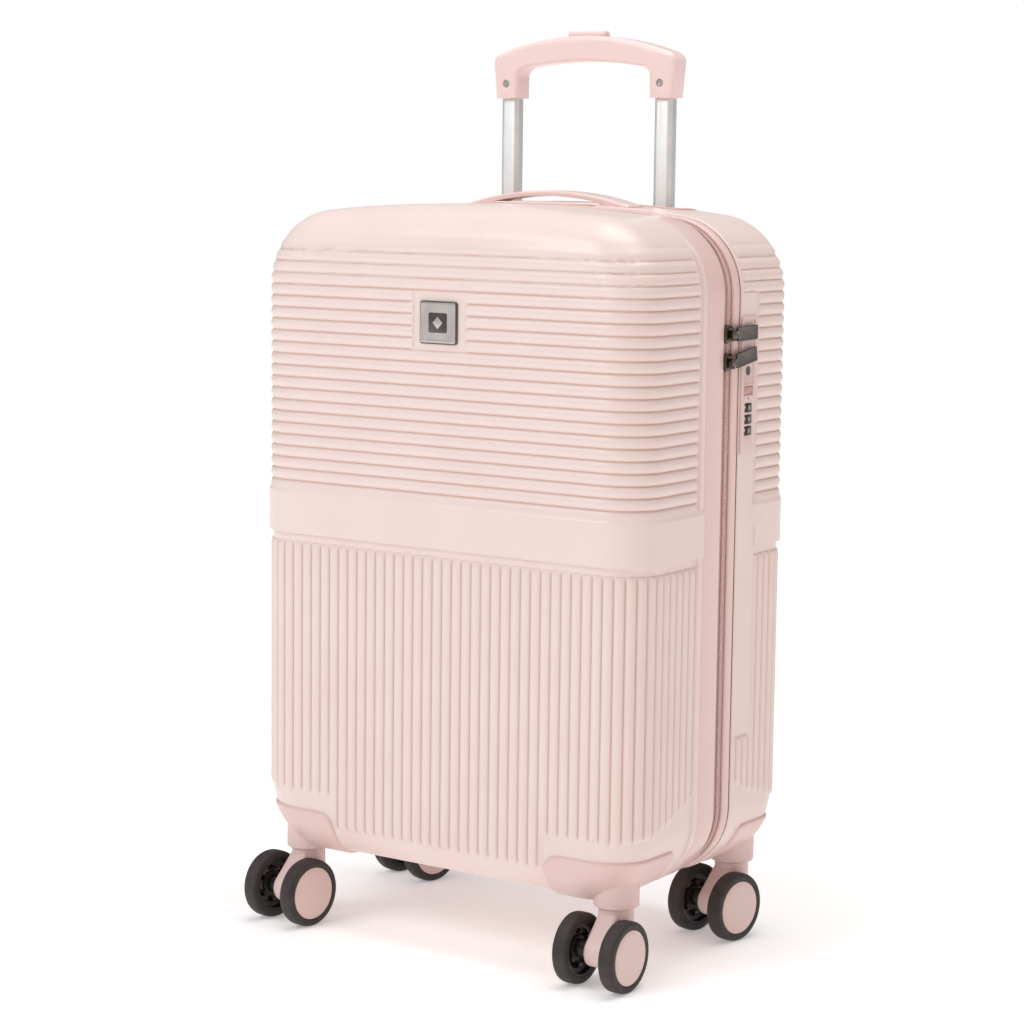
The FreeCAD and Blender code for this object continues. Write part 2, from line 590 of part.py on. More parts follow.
STEP_OUT = STAGE_CLEAR + TUBE_WALL
INNER_TOP = GRIP_Z + GRIP_SOCKET
outer_z0 = BASE_TOP - SOCKET_DEPTH
outer_z1 = WELL_FLOOR - WELL_T
save("handle_outer_tubes", *[
    handle_tube(s, OUTER_W, OUTER_D, TUBE_CORNER + 2 * STEP_OUT, outer_z0, outer_z1) for s in (-1, 1)])
save("handle_middle_tubes", *[
    handle_tube(s, MIDDLE_W, MIDDLE_D, TUBE_CORNER + STEP_OUT, MIDDLE_TOP - MIDDLE_LENGTH, MIDDLE_TOP)
    for s in (-1, 1)])
save("handle_inner_tubes", *[
    handle_tube(s, TUBE_W, TUBE_D, TUBE_CORNER, INNER_TOP - INNER_LENGTH, INNER_TOP) for s in (-1, 1)])


def handle_well():
    """Cup in the top of the case that the grip sinks into, with a flange that follows the shell."""
    skin = case_tub(-WELL_PROUD, 1, REAR_RIM_Y1)
    flange = skin.common(well_block(WELL_T + WELL_FLANGE, WELL_FLOOR, TOP + OVER)).cut(
        case_tub(0, 1, REAR_RIM_Y1 - 1))
    cup = skin.common(well_block(WELL_T, WELL_FLOOR - WELL_T, TOP + OVER))
    cup = cup.fuse(flange).cut(well_block(0, WELL_FLOOR, TOP + 2 * OVER))
    for side in (-1, 1):
        hole = handle_tube(side, MIDDLE_W + 2 * STAGE_CLEAR, MIDDLE_D + 2 * STAGE_CLEAR,
                           TUBE_CORNER + STEP_OUT + STAGE_CLEAR, 0, TOP, solid=True)
        cup = cup.cut(hole)
    return cup


def handle_base():
    """Block on the floor of the rear shell with a socket for each outer tube."""
    d = OUTER_D / 2 + BASE_WALL_Y
    block = box(-BASE_X, BASE_X, HANDLE_Y - d, HANDLE_Y + d, GROUND, BASE_TOP)
    block = block.common(case_tub(WALL, 1, REAR_RIM_Y1))
    for side in (-1, 1):
        block = block.cut(handle_tube(side, OUTER_W + 2 * SNUG, OUTER_D + 2 * SNUG,
                                      TUBE_CORNER + 2 * STEP_OUT + SNUG, outer_z0, TOP, solid=True))
    gap = BASE_X - OUTER_W - 2 * BASE_WALL_X - 2
    return block.cut(box(-gap, gap, HANDLE_Y - d - 1, HANDLE_Y + d + 1, GROUND + BASE_FLOOR, TOP))


save("handle_well", handle_well())
save("handle_base", handle_base())


def grip_button_block(grow, drop):
    length = GRIP_BUTTON_L / 2 + grow
    d = GRIP_BUTTON_W / 2 + grow
    top = GRIP_Z + GRIP_TOP_H + GRIP_BUTTON_H
    low = top - GRIP_BUTTON_H - GRIP_BUTTON_SINK - drop
    corner = GRIP_BUTTON_CORNER_R + grow
    return rounded_box(-length, length, HANDLE_Y - d, HANDLE_Y + d, low, top, corner, "Z")


def grip():
    """Arched grip: two legs on the tubes and a bowed bar between them."""
    y0 = HANDLE_Y - GRIP_D / 2
    z = GRIP_Z
    left = [Vector(-GRIP_FOOT_X, y0, z), Vector(-GRIP_SHOULDER_X, y0, z + GRIP_SIDE_H)]
    right = [Vector(GRIP_SHOULDER_X, y0, z + GRIP_SIDE_H), Vector(GRIP_FOOT_X, y0, z)]
    edges = [
        Part.makeLine(left[0], left[1]),
        Part.Arc(left[1], Vector(0, y0, z + GRIP_TOP_H), right[0]).toShape(),
        Part.makeLine(right[0], right[1]),
        Part.makeLine(right[1], left[0]),
    ]
    bar = Part.Face(Part.Wire(edges)).extrude(Vector(0, GRIP_D, 0))
    shoulders = [e for e in bar.Edges if abs(e.BoundBox.ZMin - z - GRIP_SIDE_H) < 0.01
                 and e.BoundBox.ZLength < 0.01]
    bar = bar.makeFillet(GRIP_SHOULDER_R, shoulders)
    inner = GRIP_INNER_X
    hand = [Vector(-inner, y0 - 1, z - 1), Vector(-inner, y0 - 1, z + GRIP_OPEN_SIDE_H),
            Vector(inner, y0 - 1, z + GRIP_OPEN_SIDE_H), Vector(inner, y0 - 1, z - 1)]
    edges = [
        Part.makeLine(hand[0], hand[1]),
        Part.Arc(hand[1], Vector(0, y0 - 1, z + GRIP_OPEN_H), hand[2]).toShape(),
        Part.makeLine(hand[2], hand[3]),
        Part.makeLine(hand[3], hand[0]),
    ]
    opening = Part.Face(Part.Wire(edges)).extrude(Vector(0, GRIP_D + 2, 0))
    upper = [e for e in opening.Edges if abs(e.BoundBox.ZMin - z - GRIP_OPEN_SIDE_H) < 0.01
             and e.BoundBox.ZLength < 0.01]
    opening = opening.makeFillet(GRIP_INNER_R, upper)
    bar = bar.cut(opening)
    rims = [e for e in bar.Edges if e.BoundBox.YLength < 1e-4 and e.BoundBox.ZMax > z + 0.01]
    bar = bar.makeFillet(GRIP_FILLET, rims)
    for side in (-1, 1):
        bar = bar.cut(handle_tube(side, TUBE_W + 2 * SNUG, TUBE_D + 2 * SNUG, TUBE_CORNER + SNUG,
                                  z - 1, INNER_TOP, solid=True))
        spot = Vector(side * HANDLE_X, y0 - 1, z + GRIP_SCREW_H)
        bar = bar.cut(rod(GRIP_SCREW_R + SNUG, 1 + GRIP_SCREW_SINK + GRIP_SCREW_HEAD, spot, Y_AXIS))
        bar = bar.cut(rod(GRIP_SCREW_CORE_R + SNUG, 1 + 2 * GRIP_WALL_Y, spot, Y_AXIS))
    return bar.cut(grip_button_block(FREE, GRIP_BUTTON_TRAVEL + FREE))


def grip_screw(side):
    y = HANDLE_Y - GRIP_D / 2 + GRIP_SCREW_SINK
    x = side * HANDLE_X
    z = GRIP_Z + GRIP_SCREW_H
    screw = rod(GRIP_SCREW_R, GRIP_SCREW_HEAD, Vector(x, y, z), Y_AXIS)
    screw = screw.fuse(rod(GRIP_SCREW_CORE_R, HANDLE_Y - TUBE_D / 2 - y, Vector(x, y, z), Y_AXIS))
    for half_x, half_z in ((SCREW_CROSS, SCREW_CROSS_W), (SCREW_CROSS_W, SCREW_CROSS)):
        screw = screw.cut(box(x - half_x, x + half_x, y - 1, y + SCREW_CROSS_DEEP,
                              z - half_z, z + half_z))
    return screw


save("grip", grip())
save("grip_screws", grip_screw(-1), grip_screw(1))
button = grip_button_block(0, 0)
button_top = [e for e in button.Edges if e.BoundBox.ZMin > button.BoundBox.ZMax - 0.01]
save("grip_button", button.makeFillet(GRIP_BUTTON_EDGE, button_top))


# ---- carry handle ----------------------------------------------------------------------
def carry_handle():
    """Low strap, bowed over the finger pocket, with feet that sit on the shell."""
    y0 = CARRY_Y - CARRY_D / 2
    half = CARRY_L / 2
    span = CARRY_POCKET_L / 2 + CARRY_FOOT
    low = TOP - 8
    top = TOP + CARRY_RISE
    edges = [
        Part.makeLine(Vector(-half, y0, low), Vector(-half, y0, TOP - 1)),
        Part.Arc(Vector(-half, y0, TOP - 1), Vector(0, y0, top), Vector(half, y0, TOP - 1)).toShape(),
        Part.makeLine(Vector(half, y0, TOP - 1), Vector(half, y0, low)),
        Part.makeLine(Vector(half, y0, low), Vector(-half, y0, low)),
    ]
    strap = Part.Face(Part.Wire(edges)).extrude(Vector(0, CARRY_D, 0))
    rims = [e for e in strap.Edges if e.BoundBox.YLength < 1e-4 and e.BoundBox.ZMin > low + 1]
    strap = strap.makeFillet(CARRY_EDGE, rims)
    under = TOP + 0.5
    edges = [
        Part.makeLine(Vector(-span, y0 - 1, low - 1), Vector(-span, y0 - 1, under)),
        Part.Arc(Vector(-span, y0 - 1, under), Vector(0, y0 - 1, top - CARRY_T),
                 Vector(span, y0 - 1, under)).toShape(),
        Part.makeLine(Vector(span, y0 - 1, under), Vector(span, y0 - 1, low - 1)),
        Part.makeLine(Vector(span, y0 - 1, low - 1), Vector(-span, y0 - 1, low - 1)),
    ]
    gap = Part.Face(Part.Wire(edges)).extrude(Vector(0, CARRY_D + 2, 0))
    return strap.cut(gap).cut(case_tub(0, 1, REAR_RIM_Y1 - 20))


save("carry_handle", carry_handle())


# ---- casters ---------------------------------------------------------------------------
def corner_guard(side_x, side_y):
    """Corner guard moulded with the caster's boss: a skin over the shell and a round boss."""
    y_open = FRONT_RIM_Y0 if side_y < 0 else REAR_RIM_Y1
    outer = case_tub(-GUARD_T, side_y, y_open)
    case = case_tub(0, side_y, y_open - side_y)
    across = rounded_box(GUARD_X, CASE_W, -CASE_D, CASE_D, -CORNER_R, GUARD_TOP, GUARD_CORNER_R, "Y")
    along = rounded_box(0, CASE_W, HALF_D - GUARD_RUN_Y, CASE_D, -CORNER_R, GUARD_TOP,
                        GUARD_CORNER_R / 2, "X")
    if side_x < 0:
        across = across.mirror(Vector(), X_AXIS)
        along = along.mirror(Vector(), X_AXIS)
    if side_y < 0:
        along = along.mirror(Vector(), Y_AXIS)
    region = across.common(along)
    x = side_x * CASTER_X
    y = side_y * CASTER_Y
    boss = rod(BOSS_R, GUARD_TOP - BOSS_Z, Vector(x, y, BOSS_Z), Z_AXIS)
    foot = [e for e in boss.Edges if abs(e.BoundBox.ZMax - BOSS_Z) < 0.01]
    boss = boss.makeChamfer(BOSS_CHAMFER, foot)
    low = box(-CASE_W, CASE_W, -CASE_D, CASE_D, 0, GROUND + CORNER_R / 2)
    guard = outer.common(region).fuse(boss.common(low)).cut(case)
    pieces = sorted(guard.Solids, key=lambda solid: solid.Volume)
    guard = pieces[-1]
    return guard.cut(rod(KINGPIN_R, KINGPIN_UP + 1, Vector(x, y, BOSS_Z - 1), Z_AXIS))


def tangent_point(px, pz, cx, cz, radius, turn):
    """Where a line from a point touches a circle, on the side given by turn, 1 or -1."""
    distance = math.hypot(px - cx, pz - cz)
    angle = math.atan2(pz - cz, px - cx) + turn * math.acos(radius / distance)
    return cx + radius * math.cos(angle), cz + radius * math.sin(angle)


def fork():
    """Caster fork at the origin's swivel axis, wheels trailing towards -Y."""
    nose = (-TRAIL, WHEEL_R)
    top_front = (-COLLAR_R + 1.5, FORK_TOP - 4)
    heel = (COLLAR_R / 2, COLLAR_Z0)
    front = tangent_point(*top_front, *nose, FORK_NOSE_R, 1)
    back = tangent_point(*heel, *nose, FORK_NOSE_R, -1)
    x = -FORK_T / 2

    def at(point):
        return Vector(x, point[0], point[1])

    low = (nose[0] - FORK_NOSE_R * 0.6, nose[1] - FORK_NOSE_R * 0.8)
    edges = [
        Part.makeLine(at(top_front), at(front)),
        Part.Arc(at(front), at(low), at(back)).toShape(),
        Part.makeLine(at(back), at(heel)),
        Part.makeLine(at(heel), at((heel[0], top_front[1]))),
        Part.makeLine(at((heel[0], top_front[1])), at(top_front)),
    ]
    leg = Part.Face(Part.Wire(edges)).extrude(Vector(FORK_T, 0, 0))
    rims = [e for e in leg.Edges if e.BoundBox.XLength < 1e-4 and e.BoundBox.ZMin < top_front[1] - 1]
    leg = leg.makeFillet(FORK_EDGE, rims)
    collar = rod(COLLAR_R, FORK_TOP - COLLAR_Z0, Vector(0, 0, COLLAR_Z0), Z_AXIS)
    body = leg.fuse(collar)
    body = body.cut(rod(KINGPIN_R + RUNNING, COLLAR_H, Vector(0, 0, KINGPIN_Z0 - 1), Z_AXIS))
    return body.cut(rod(AXLE_R, FORK_T + 2, Vector(x - 1, nose[0], nose[1]), X_AXIS))


def wheel_profile(points):
    """Solid of revolution about the X axis from (along, radius) points."""
    corners = [Vector(a, 0, r) for a, r in points]
    return Part.Face(Part.makePolygon(corners + corners[:1])).revolve(Vector(), X_AXIS, 360)


def wheel():
    """Wheel with its bonded tyre, axis X, inner face at 0 and outer face towards +X."""
    shoulder = WHEEL_R - TYRE_EDGE
    rim = wheel_profile([(0, TYRE_R0), (0, shoulder), (TYRE_EDGE, WHEEL_R),
                         (WHEEL_W - TYRE_EDGE, WHEEL_R), (WHEEL_W, shoulder), (WHEEL_W, TYRE_R0)])
    web_x1 = WEB_X0 + WEB_T
    web = wheel_profile([(WEB_X0, HUB_R - 1), (WEB_X0, TYRE_R0 + 0.5), (web_x1, TYRE_R0 + 0.5),
                         (web_x1, HUB_R - 1)])
    hub_start = FORK_T / 2 + FREE - WHEEL_GAP / 2
    bore = AXLE_R + RUNNING
    hub = wheel_profile([(hub_start, bore), (hub_start, HUB_R - 2), (1, HUB_R), (HUB_END, HUB_R),
                         (HUB_END, bore)])
    body = rim.fuse([web, hub])
    mid = (HUB_R + TYRE_R0) / 2
    hole_r = (TYRE_R0 - HUB_R) / 2 - WEB_RIM
    for step in range(WEB_HOLES):
        angle = math.radians(360 / WEB_HOLES * step)
        spot = Vector(WEB_X0 - 1, mid * math.cos(angle), mid * math.sin(angle))
        body = body.cut(rod(hole_r, WEB_T + 2, spot, X_AXIS))
    return body


def wheel_cap():
    """Domed cover clipped inside the tyre."""
    dome_r = (CAP_R ** 2 + CAP_DOME ** 2) / (2 * CAP_DOME)
    disc = rod(CAP_R, WHEEL_W - CAP_SEAT, Vector(CAP_SEAT, 0, 0), X_AXIS)
    ball = Part.makeSphere(dome_r, Vector(WHEEL_W + CAP_DOME - dome_r, 0, 0))
    dome = ball.common(rod(CAP_R, CAP_DOME + 1, Vector(WHEEL_W, 0, 0), X_AXIS))
    back = Vector(CAP_SEAT - CAP_SKIRT, 0, 0)
    skirt = rod(CAP_R, CAP_SKIRT, back, X_AXIS).cut(rod(CAP_R - CAP_WALL, CAP_SKIRT, back, X_AXIS))
    return disc.fuse([dome, skirt])


def place_on_caster(shape, name, side_x, side_y):
    shape.rotate(Vector(), Z_AXIS, CASTER_YAW[name])
    shape.translate(Vector(side_x * CASTER_X, side_y * CASTER_Y, 0))
    return shape


pins = {"front": [], "rear": []}
for end, side_y in (("front", -1), ("rear", 1)):
    for hand, side_x in (("left", -1), ("right", 1)):
        name = end + "_" + hand
        save("caster_housing_" + name, corner_guard(side_x, side_y))
        base = Vector(side_x * CASTER_X, side_y * CASTER_Y, KINGPIN_Z0)
        pins[end].append(rod(KINGPIN_R, KINGPIN_UP + KINGPIN_DOWN, base, Z_AXIS))
        save("caster_fork_" + name, place_on_caster(fork(), name, side_x, side_y))
        hub_end = WHEEL_GAP / 2 + HUB_END - AXLE_SHORT
        axle = rod(AXLE_R, 2 * hub_end, Vector(-hub_end, -TRAIL, WHEEL_R), X_AXIS)
        save("caster_axle_" + name, place_on_caster(axle, name, side_x, side_y))
        for way, place in ((side_x, "outer"), (-side_x, "inner")):
            for label, piece in (("wheel", wheel()), ("wheel_cap", wheel_cap())):
                piece.translate(Vector(WHEEL_GAP / 2, 0, 0))
                if way < 0:
                    piece = piece.mirror(Vector(), X_AXIS)
                piece.translate(Vector(0, -TRAIL, WHEEL_R))
                save("%s_%s_%s" % (label, name, place), place_on_caster(piece, name, side_x, side_y))

for end in ("front", "rear"):
    save(end + "_kingpins", *pins[end])
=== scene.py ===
import json
import math

import bmesh
import bpy
import numpy as np
from bpy.props import FloatProperty, FloatVectorProperty, IntProperty, PointerProperty, StringProperty
from mathutils import Matrix, Vector, noise


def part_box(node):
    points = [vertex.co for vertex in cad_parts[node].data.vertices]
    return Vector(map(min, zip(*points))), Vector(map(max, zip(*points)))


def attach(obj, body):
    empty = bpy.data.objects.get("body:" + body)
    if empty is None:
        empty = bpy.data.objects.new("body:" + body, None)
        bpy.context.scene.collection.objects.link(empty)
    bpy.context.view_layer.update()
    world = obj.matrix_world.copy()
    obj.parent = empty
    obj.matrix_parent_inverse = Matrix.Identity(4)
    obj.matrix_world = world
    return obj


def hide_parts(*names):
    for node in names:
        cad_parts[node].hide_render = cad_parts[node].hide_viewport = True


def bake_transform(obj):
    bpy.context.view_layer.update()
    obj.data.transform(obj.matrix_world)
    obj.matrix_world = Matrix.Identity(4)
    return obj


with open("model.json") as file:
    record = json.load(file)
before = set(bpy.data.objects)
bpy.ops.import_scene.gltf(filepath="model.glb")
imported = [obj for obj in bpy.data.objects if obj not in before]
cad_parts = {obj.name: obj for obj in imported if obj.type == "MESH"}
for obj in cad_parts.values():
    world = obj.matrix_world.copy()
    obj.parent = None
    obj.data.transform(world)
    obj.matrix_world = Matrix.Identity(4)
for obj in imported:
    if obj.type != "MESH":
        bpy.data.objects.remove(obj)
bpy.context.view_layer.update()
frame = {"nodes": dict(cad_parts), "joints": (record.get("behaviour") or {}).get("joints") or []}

bl_info = {
    "name": "Ribbed cabin suitcase",
    "version": (1, 0, 0),
    "blender": (4, 5, 0),
    "location": "3D View > Sidebar > Suitcase",
    "description": "Builds a ribbed hard shell cabin suitcase piece by piece around its packed frame",
    "category": "Add Mesh",
}

# ---- places taken from the frame, in millimetres --------------------------------------
CORNERS = ("front_left", "front_right", "rear_left", "rear_right")


def frame_box(node):
    """Lowest and highest corner of a CAD node, in millimetres."""
    low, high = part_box(node)
    return low * 1000, high * 1000


BAND_PROUD = 1.2
CORNER_R = 58.0
EDGE_R = 34.0
CROWN_R = 1200.0
FRONT_LOW, FRONT_HIGH = frame_box("front_shell")
REAR_LOW, REAR_HIGH = frame_box("rear_shell")
HALF_W = FRONT_HIGH.x - BAND_PROUD
GROUND = FRONT_LOW.z
TOP = FRONT_HIGH.z
MID_Y = (FRONT_LOW.y + REAR_HIGH.y) / 2
HALF_D = (REAR_HIGH.y - FRONT_LOW.y) / 2 - BAND_PROUD
FRONT_OPEN = MID_Y - FRONT_HIGH.y
REAR_OPEN = REAR_LOW.y - MID_Y
FACE_X = HALF_W - EDGE_R
FACE_R = CORNER_R - EDGE_R
CORNER_X = HALF_W - CORNER_R
LOW_Z = GROUND + CORNER_R
HIGH_Z = TOP - CROWN_R + math.sqrt((CROWN_R - CORNER_R) ** 2 - CORNER_X ** 2)
LEAN = math.atan2(HIGH_Z - (TOP - CROWN_R), CORNER_X)
EDGE_Y = HALF_D - EDGE_R
BAND_Z0 = GROUND + 254.5
BAND_Z1 = BAND_Z0 + 31.5
MID_Z = (BAND_Z0 + BAND_Z1) / 2
ZIP_Y = (frame_box("zip_slider_upper")[0].y + frame_box("zip_slider_upper")[1].y) / 2
LOCK_LOW, LOCK_HIGH = frame_box("lock_housing")


def hinge_place(joint):
    """Where a joint's axis passes, in millimetres."""
    place = [j["pos_m"] for j in frame["joints"] if j["name"] == joint][0]
    return Vector(place) * 1000


# ---- small helpers --------------------------------------------------------------------
def linear(code):
    """sRGB hex string to linear RGBA."""
    values = [int(code[i:i + 2], 16) / 255 for i in (1, 3, 5)]
    return tuple(v / 12.92 if v <= 0.04045 else ((v + 0.055) / 1.055) ** 2.4 for v in values) + (1.0,)


def new_object(name, mesh):
    piece = bpy.data.objects.new(name, mesh)
    bpy.context.scene.collection.objects.link(piece)
    return piece


def mesh_from(name, vertices, faces, smooth=True):
    mesh = bpy.data.meshes.new(name)
    mesh.from_pydata([tuple(v) for v in vertices], [], faces)
    mesh.validate()
    mesh.shade_smooth() if smooth else mesh.shade_flat()
    return mesh


def finish_piece(piece, body, slot, *nodes):
    """Bring a piece from millimetres to metres, hang it on its body and hide the CAD nodes it stands in for.

    body is None for a piece that lies between two bodies; it is then hung on none."""
    settle(piece)
    piece.data.transform(Matrix.Scale(0.001, 4))
    if body:
        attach(piece, body)
    if nodes:
        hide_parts(*nodes)
    return piece


def settle(piece):
    """Apply a piece's modifiers, so that its mesh is plain."""
    if not piece.modifiers:
        return piece
    depsgraph = bpy.context.evaluated_depsgraph_get()
    mesh = bpy.data.meshes.new_from_object(piece.evaluated_get(depsgraph), depsgraph=depsgraph)
    piece.modifiers.clear()
    old = piece.data
    piece.data = mesh
    bpy.data.meshes.remove(old)
    mesh.name = piece.name
    return piece


def face_outwards(bm, inside):
    """Make all normals agree and point away from a point inside the form."""
    bmesh.ops.recalc_face_normals(bm, faces=bm.faces)
    lean = sum((f.calc_center_median() - inside).dot(f.normal) * f.calc_area() for f in bm.faces)
    if lean < 0:
        bmesh.ops.reverse_faces(bm, faces=bm.faces)


def join_meshes(name, meshes):
    """One mesh from several, materials kept in order of first use."""
    objects = [new_object(name + "_part", mesh) for mesh in meshes]
    with bpy.context.temp_override(active_object=objects[0], selected_editable_objects=objects):
        bpy.ops.object.join()
    piece = objects[0]
    piece.name = name
    piece.data.name = name
    return piece


# ---- geometry node helpers ------------------------------------------------------------
def new_tree(name, inputs):
    """Geometry tree with a Geometry input, the named inputs and a Geometry output."""
    tree = bpy.data.node_groups.new(name, "GeometryNodeTree")
    tree.interface.new_socket("Geometry", in_out="INPUT", socket_type="NodeSocketGeometry")
    for label, kind in inputs:
        tree.interface.new_socket(label, in_out="INPUT", socket_type=kind)
    tree.interface.new_socket("Geometry", in_out="OUTPUT", socket_type="NodeSocketGeometry")
    return tree


def add_node(tree, kind, links=None, **settings):
    """Add a node: settings are its properties, links its inputs, as sockets or as values."""
    node = tree.nodes.new(kind)
    for key, value in settings.items():
        setattr(node, key, value)
    for key, value in (links or {}).items():
        if isinstance(value, bpy.types.NodeSocket):
            tree.links.new(value, node.inputs[key])
        else:
            node.inputs[key].default_value = value
    return node


def run_tree(piece, tree, values):
    """Put the tree on a piece, set its inputs by identifier and keep the plain result."""
    modifier = piece.modifiers.new(tree.name, "NODES")
    modifier.node_group = tree
    for item in tree.interface.items_tree:
        if item.item_type == "SOCKET" and item.in_out == "INPUT" and item.name in values:
            modifier[item.identifier] = values[item.name]
    return settle(piece)


# ---- the case's form ------------------------------------------------------------------
def outline_point(place):
    """Point and outward direction on the case's outline for (kind, value).

    right and left: value is the height; the four corners: value is the angle up from the side;
    crown and floor: value is x."""
    kind, value = place
    if kind in ("right", "left"):
        side = 1 if kind == "right" else -1
        return side * HALF_W, value, side, 0.0
    if kind == "crown":
        angle = math.asin(value / CROWN_R)
        nx, nz = math.sin(angle), math.cos(angle)
        return CROWN_R * nx, TOP - CROWN_R + CROWN_R * nz, nx, nz
    if kind == "floor":
        return value, GROUND, 0.0, -1.0
    side = 1 if kind.endswith("right") else -1
    up = 1 if kind.startswith("top") else -1
    nx, nz = side * math.cos(value), up * math.sin(value)
    centre = HIGH_Z if up > 0 else LOW_Z
    return side * CORNER_X + CORNER_R * nx, centre + CORNER_R * nz, nx, nz


def skin_point(place, y, inset, side):
    """Point of a half's skin: the outline moved in by inset, at depth y from the middle."""
    x, z, nx, nz = outline_point(place)
    return (x - inset * nx, MID_Y + side * y, z - inset * nz)


def edge_steps(open_y, extra, turns):
    """(y, inset) pairs from a half's open edge, along its side and round to its face."""
    steps = [(y, 0.0) for y in sorted(set([open_y, EDGE_Y] + [y for y in extra if open_y < y < EDGE_Y]))]
    for turn in turns:
        steps.append((EDGE_Y + EDGE_R * math.sin(turn), EDGE_R * (1 - math.cos(turn))))
    return steps


class Skin:
    """Vertices and faces of a half's skin, gathered from grids and strips."""

    def __init__(self, side):
        self.side = side
        self.points = []
        self.faces = []

    def grid(self, rows):
        start = len(self.points)
        width = len(rows[0])
        for row in rows:
            self.points.extend(row)
        for r in range(len(rows) - 1):
            for c in range(width - 1):
                a = start + r * width + c
                self.faces.append((a, a + 1, a + width + 1, a + width))

    def strip(self, one, two):
        """Triangles between two rows of points that run side by side but differ in number."""
        start = len(self.points)
        self.points.extend(one)
        self.points.extend(two)
        runs = [shares(one), shares(two)]
        a, b = 0, 0
        while a < len(one) - 1 or b < len(two) - 1:
            step_a = b == len(two) - 1 or (a < len(one) - 1 and runs[0][a + 1] <= runs[1][b + 1])
            if step_a:
                self.faces.append((start + a, start + a + 1, start + len(one) + b))
                a += 1
            else:
                self.faces.append((start + a, start + len(one) + b + 1, start + len(one) + b))
                b += 1

    def mesh(self, name, weld=0.004):
        bm = bmesh.new()
        points = [bm.verts.new(p) for p in self.points]
        for face in self.faces:
            bm.faces.new([points[i] for i in face])
        bmesh.ops.remove_doubles(bm, verts=bm.verts, dist=weld)
        bmesh.ops.dissolve_degenerate(bm, edges=bm.edges, dist=weld)
        face_outwards(bm, Vector((0, MID_Y, MID_Z)))
        mesh = bpy.data.meshes.new(name)
        bm.to_mesh(mesh)
        bm.free()
        mesh.shade_smooth()
        return mesh


def shares(points):
    """Distance along a row of points, from 0 to 1."""
    run = [0.0]
    for one, two in zip(points, points[1:]):
        run.append(run[-1] + math.dist(one, two))
    return [value / run[-1] for value in run]


# ---- the ribs -------------------------------------------------------------------------
RIB_SHARES = (0.0, 0.07, 0.2, 0.5, 0.8, 0.93)
LIP_Y = 32.0            # ribs stop this far from the middle plane of the case, on the front half
REAR_LIP = 5.0          # and this far behind the open edge on the rear half
RIB_GAP = 6.5           # top ends of the lower ribs below the waist band
BADGE_LOW, BADGE_HIGH = frame_box("badge")
BADGE_Z = (BADGE_LOW.z + BADGE_HIGH.z) / 2
PANEL_Y = 50.0          # smooth panel round the lock, on the rear half's right side
PANEL_Z0 = 170.0
PANEL_Z1 = LOCK_HIGH.z + 17.0


def rib_levels(low, high, first, pitch):
    """Places between low and high that catch every groove and crest of ribs at that pitch."""
    found = {low, high}
    for count in range(int((low - first) / pitch) - 2, int((high - first) / pitch) + 3):
        for share in RIB_SHARES:
            value = first + (count + share) * pitch
            if low + 0.3 < value < high - 0.3:
                found.add(value)
    return sorted(found)


def smooth_step(value, low, high):
    t = np.clip((value - low) / (high - low), 0, 1)
    return t * t * (3 - 2 * t)


def across_lower(x, y):
    """Distance round the lower half's level section, from the middle of its face."""
    depth = np.abs(y - MID_Y)
    turn = np.arcsin(np.clip((depth - EDGE_Y) / EDGE_R, 0, 1))
    beside = FACE_X + EDGE_R * (math.pi / 2 - turn) + np.clip(EDGE_Y - depth, 0, None)
    return np.where(np.abs(x) <= FACE_X + 1e-3, np.abs(x), beside)


